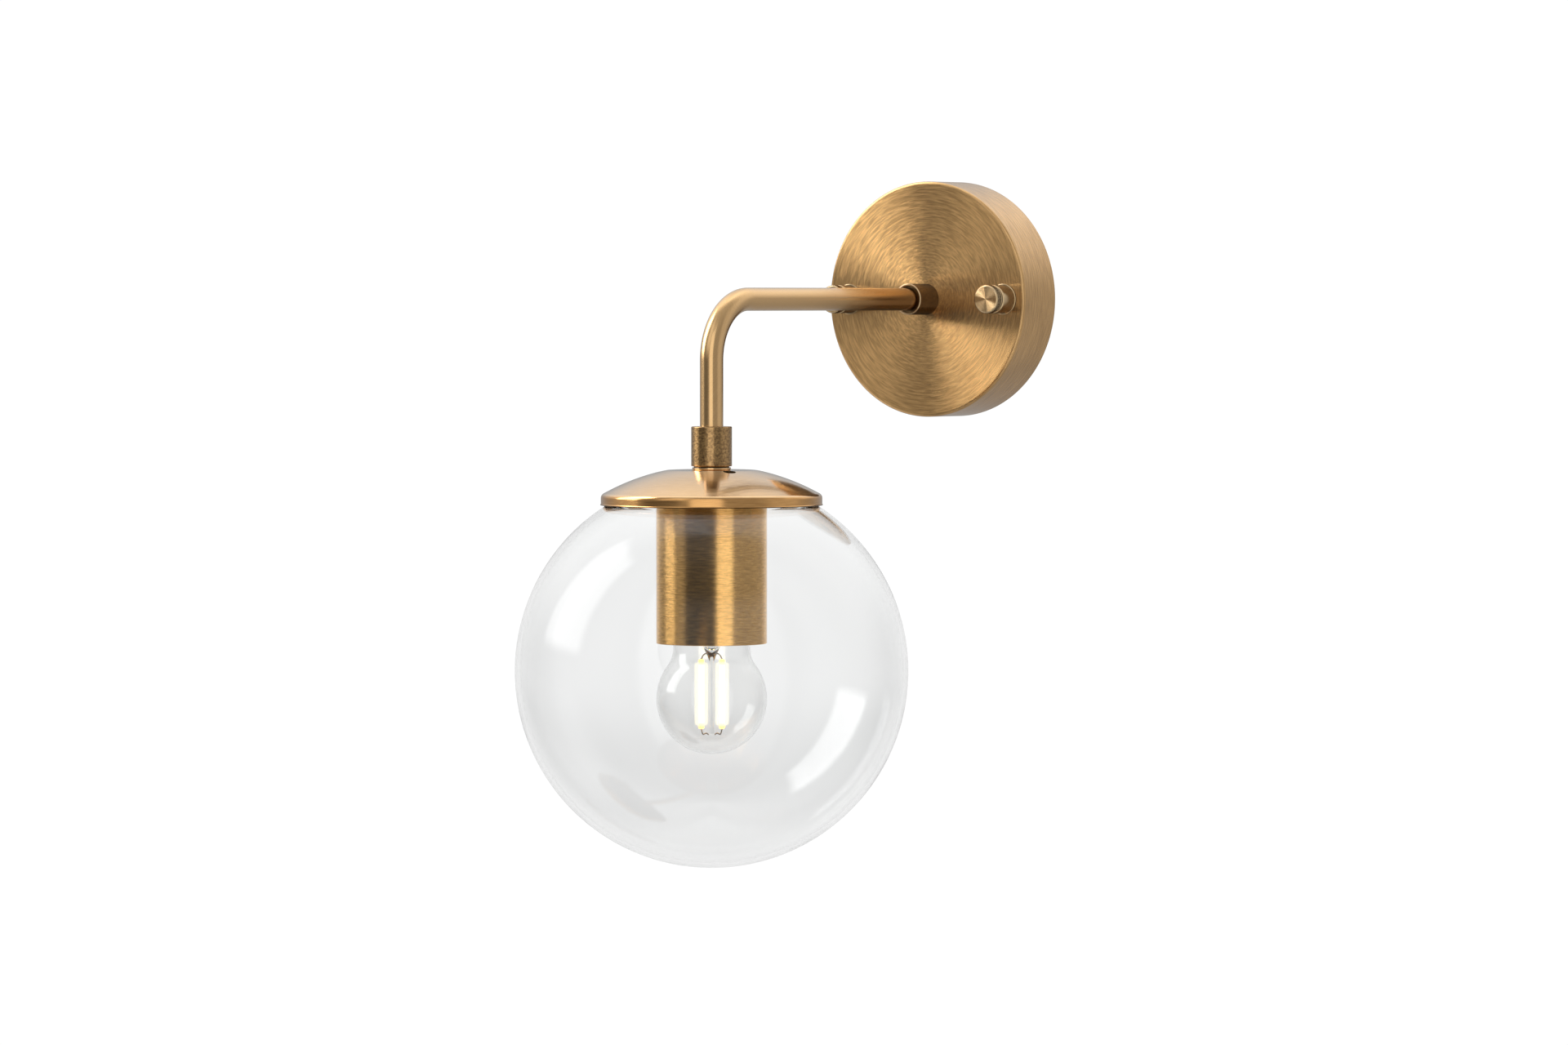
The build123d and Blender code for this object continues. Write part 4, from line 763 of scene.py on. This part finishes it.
# %% Glowing rods
ROD_TOP, ROD_LOW, ROD_OUT = -146.5 * MM, -174.5 * MM, 4.2 * MM
ROD_R, VEIL_R = 1.2 * MM, 3.0 * MM
rod_spots = [shifted(hung, s * ROD_OUT * math.cos(ANGLE), s * ROD_OUT * math.sin(ANGLE)) for s in (-1, 1)]
rod_outline = rounded(rod(ROD_R, ROD_LOW, ROD_TOP), np.array([0, 0.7, 0.7, 0]) * MM)
rods = skin("bulb_glowing_rods", *[round_grid(rod_outline, spot, 24) for spot in rod_spots])
glow_material, tree = blank("filament")
place = tree.node("TexCoord").out("Object")
level = tree.node("SeparateXYZ", None, {0: place}).out("Z")
lit = tree.window(level, ROD_LOW + 3 * MM, ROD_TOP - 3 * MM, 1.2 * MM)
grain = tree.noise(place, 1800.0, 2.0)
facing = tree.node("LayerWeight", None, {"Blend": 0.5}).out("Facing")
warm = tree.mix(lit * (1 - tree.step(facing, 0.45, 1.0)), (0.80, 0.38, 0.04, 1), (1.0, 0.90, 0.66, 1))
tree.surface({
    "Base Color": tree.mix(grain, (0.95, 0.75, 0.30, 1), (1.0, 0.85, 0.45, 1)), "Roughness": 0.3 + 0.2 * grain,
    "Emission Color": warm, "Emission Strength": 9.0,
})
dress(rods, "bulb", glow_material, "filament", "bulb_filaments")
veil_outline = rounded(rod(VEIL_R, ROD_LOW + MM, ROD_TOP - MM), np.array([0, 2.4, 2.4, 0]) * MM, steps=12)
veil = skin("bulb_rod_veils", *[round_grid(veil_outline, spot, 32) for spot in rod_spots])
veil_material, tree = blank("rod_veil")
flicker = tree.noise(tree.node("TexCoord").out("Object"), 300.0)
turned = tree.node("LayerWeight", None, {"Blend": 0.5}).out("Facing")
fade = (1 - tree.step(turned, 0.05, 0.95)) * (0.46 + 0.1 * flicker)
tree.surface({
    "Base Color": (0, 0, 0, 1), "Specular IOR Level": 0.0, "Alpha": fade,
    "Emission Color": tree.mix(flicker, (1.0, 0.90, 0.66, 1), (1.0, 0.95, 0.76, 1)), "Emission Strength": 1.5,
})
dress(veil, "bulb", veil_material, "filament")

# %% [markdown]
# Thin wires carry the rods: a short bridge from the stem to each upper end, and a springy hook from the pillar's foot
# to each lower end. Each wire is a circle carried along a path of a few dozen points, with the frame taken from the
# path.


# %% Support wires
def wire(points, radius, columns=10):
    """A round wire along a path: circles square to the path, shrunk to points at both ends."""
    points = np.asarray(points, float)
    ahead = np.gradient(points, axis=0)
    ahead /= np.linalg.norm(ahead, axis=1)[:, None]
    side = np.cross(ahead, (0.31, 0.87, 0.39))
    side /= np.linalg.norm(side, axis=1)[:, None]
    up = np.cross(ahead, side)
    t = np.linspace(0, 2 * np.pi, columns, endpoint=False)
    ring = side[:, None] * np.cos(t)[None, :, None] + up[:, None] * np.sin(t)[None, :, None]
    size = np.full(len(points), radius)
    size[[0, -1]] = 0
    return points[:, None] + size[:, None, None] * ring


def beside_pillar(out, z, way):
    """A place in the rods' own plane: out along the line of the rods, way being -1 or 1."""
    return np.column_stack([way * out * math.cos(ANGLE), way * out * math.sin(ANGLE) - REACH, z])


WIRE_R = 0.25 * MM
s = np.linspace(0, 1, 30)
bridge = (1.9 + 2.3 * s**0.7) * MM, (-144.0 - 2.5 * s**2) * MM
hook_out = 1.2 + 3.0 * s + 0.5 * np.sin(np.pi * s)
hook_level = -177.2 + np.sin(2 * np.pi * s) * (1 - s) + 2.7 * s**3
hook = hook_out * MM, hook_level * MM
wires = [wire(beside_pillar(*path, way), WIRE_R) for way in (-1, 1) for path in (bridge, hook)]
holders = skin("bulb_wire_holders", *wires)


# %% Plain finishes
def plain(name, light, dark, scale, rough, metal=0.0, grain=0.3, bump=0.05, stretch=(1, 1, 1), coat=0.0):
    """A finish for the inner pieces: two tones mixed by a noise, a roughness that follows it, and a fine grain."""
    material, tree = blank(name)
    position = tree.vector("MULTIPLY", tree.node("TexCoord").out("Object"), stretch)
    cloud = tree.noise(position, scale, 3.0)
    fine = tree.noise(position, scale * 14, 2.0)
    colour = tree.mix(tree.step(cloud * (1 - grain) + fine * grain, 0.28, 0.72), (*dark, 1), (*light, 1))
    tilt = tree.node("Bump", None, {"Strength": bump, "Distance": 0.0006, "Height": fine})
    tree.surface({
        "Base Color": colour, "Metallic": metal, "Roughness": rough + (cloud - 0.5) * 0.18, "Normal": tilt,
        "Coat Weight": coat,
    })
    return material


wire_metal = plain("wire_metal", (0.42, 0.38, 0.32), (0.16, 0.14, 0.12), 900, 0.35, metal=1.0)
dress(holders, "bulb", wire_metal, "wire_metal", "bulb_support_wires")

# %% [markdown]
# ## Bulb cap
# The cap is rolled thin metal with a rope-like screw thread. The thread is a ripple that climbs one pitch for each
# turn, so it is a function of height and angle together, and it fades out before the plain skirt that grips the
# glass.

# %% Screw cap
CAP_TOP, CAP_R, PITCH, THREAD = -114.4 * MM, 13.2 * MM, 3.629 * MM, 0.5 * MM
THREAD_END, SEAT = CAP_LOW + 3.4 * MM, GLASS_TOP + 0.1 * MM
SKIRT_IN, CAP_IN = 12.5 * MM, 11.6 * MM
t = np.linspace(0, 2 * np.pi, 97)[:-1]
z = np.linspace(CAP_TOP, THREAD_END, 70)[:, None]
full = np.clip(np.minimum(CAP_TOP - z, z - THREAD_END) / (1.2 * MM), 0, 1)
climb = CAP_R - THREAD - THREAD * np.cos(2 * np.pi * (z / PITCH) + t) * full
outer = hung(climb * np.cos(t), climb * np.sin(t), z)
skirt = round_grid([
    (CAP_R, CAP_LOW + 3.0 * MM), (CAP_R, CAP_LOW), (SKIRT_IN, CAP_LOW), (SKIRT_IN, SEAT), (CAP_IN, SEAT),
    (CAP_IN, CAP_TOP),
], hung, 96)
screw_cap = skin("bulb_cap_rolled", np.concatenate([outer, skirt]), closed=True)
cap_metal = plain("bulb_cap_metal", (0.80, 0.78, 0.73), (0.58, 0.55, 0.50), 260, 0.26, metal=1.0)
dress(screw_cap, "bulb", cap_metal, "bulb_cap_metal", "bulb_screw_cap")

# %% [markdown]
# ## Pieces that stay as solids
# What is left sits behind the canopy or up inside the sleeve: the bracket with its studs and nuts, the terminal
# block, the leads and the lampholder. Their solids are right as they are, so each gets a finish in its slot and no
# new mesh.

# %% Finishes of the inner pieces
zinc_steel = plain("zinc_steel", (0.70, 0.71, 0.72), (0.46, 0.47, 0.49), 180, 0.34, metal=1.0, stretch=(1, 1, 3))
fitting_brass = plain("fitting_brass", (0.82, 0.62, 0.30), (0.58, 0.40, 0.17), 220, 0.3, metal=1.0)
white_ceramic = plain("white_ceramic", (0.86, 0.84, 0.80), (0.76, 0.73, 0.68), 90, 0.22, coat=0.4)
black_plastic = plain("black_plastic", (0.035, 0.034, 0.033), (0.018, 0.018, 0.018), 240, 0.38, bump=0.12)
white_plastic = plain("white_plastic", (0.84, 0.83, 0.80), (0.74, 0.73, 0.70), 160, 0.42, bump=0.1)
dark_glaze = plain("bulb_insulator", (0.06, 0.06, 0.07), (0.025, 0.025, 0.03), 200, 0.15, coat=0.5)
circuit_board = plain("driver_board", (0.10, 0.30, 0.17), (0.04, 0.16, 0.09), 420, 0.4)
brown_lead = plain("brown_insulation", (0.22, 0.11, 0.06), (0.13, 0.06, 0.03), 300, 0.45)
blue_lead = plain("blue_insulation", (0.09, 0.23, 0.56), (0.04, 0.13, 0.38), 300, 0.45)
earth_cover, tree = blank("earth_insulation")
place = tree.node("TexCoord").out("Object")
across = tree.node("SeparateXYZ", None, {0: place}).out("X")
ripple = tree.noise(place, 300.0)
stripe = tree.window(across + ripple * 0.0004, -8.2 * MM, -5 * MM, 0.15 * MM)
tree.surface({
    "Base Color": tree.mix(stripe, (0.10, 0.42, 0.10, 1), (0.85, 0.72, 0.06, 1)), "Roughness": 0.4 + 0.1 * ripple,
})
finishes = {
    "zinc_steel": zinc_steel, "fitting_brass": fitting_brass, "white_ceramic": white_ceramic,
    "black_plastic": black_plastic, "white_plastic": white_plastic, "bulb_insulator": dark_glaze,
    "driver_board": circuit_board, "brown_insulation": brown_lead, "blue_insulation": blue_lead,
    "earth_insulation": earth_cover, "bulb_cap_metal": cap_metal,
}
kept = {p["node"]: p["material_slot"] for p in frame["record"]["subparts"] if p["material_slot"] in finishes}
for name, slot in kept.items():
    node = frame["nodes"][name]
    if not node.hide_render:
        node.data.materials.clear()
        node.data.materials.append(finishes[slot])
print("kept solids with a finish:", sum(not frame["nodes"][n].hide_render for n in kept))

# %% [markdown]
# ## Floor
# A plain pale floor lies far below the lamp, out of the picture's frame and below a camera that looks up at the lamp.
# It is a disc, so no straight edge shows when the lamp is seen from above, and it glows a little, because a floor in
# a white studio is lit from all around. It is kept out of reflections, where its round edge would draw a line across
# the globe.

# %% Floor
FLOOR_R, FLOOR_Z, FLOOR_THICK = 6.0, -3.2, 0.01
floor = skin("floor", round_grid(rod(FLOOR_R, FLOOR_Z - FLOOR_THICK, FLOOR_Z), hung, 96))
pale, tree = blank("pale_floor")
mottle = tree.noise(tree.node("TexCoord").out("Object"), 3.0)
tree.surface({
    "Base Color": tree.mix(mottle, (0.88, 0.88, 0.88, 1), (0.92, 0.92, 0.92, 1)), "Roughness": 0.8 + 0.1 * mottle,
    "Emission Color": (1, 1, 1, 1), "Emission Strength": 0.5,
})
floor.data.materials.append(pale)
floor.visible_glossy = floor.visible_transmission = False
print("floor", round(floor.dimensions.x, 2), "m across")
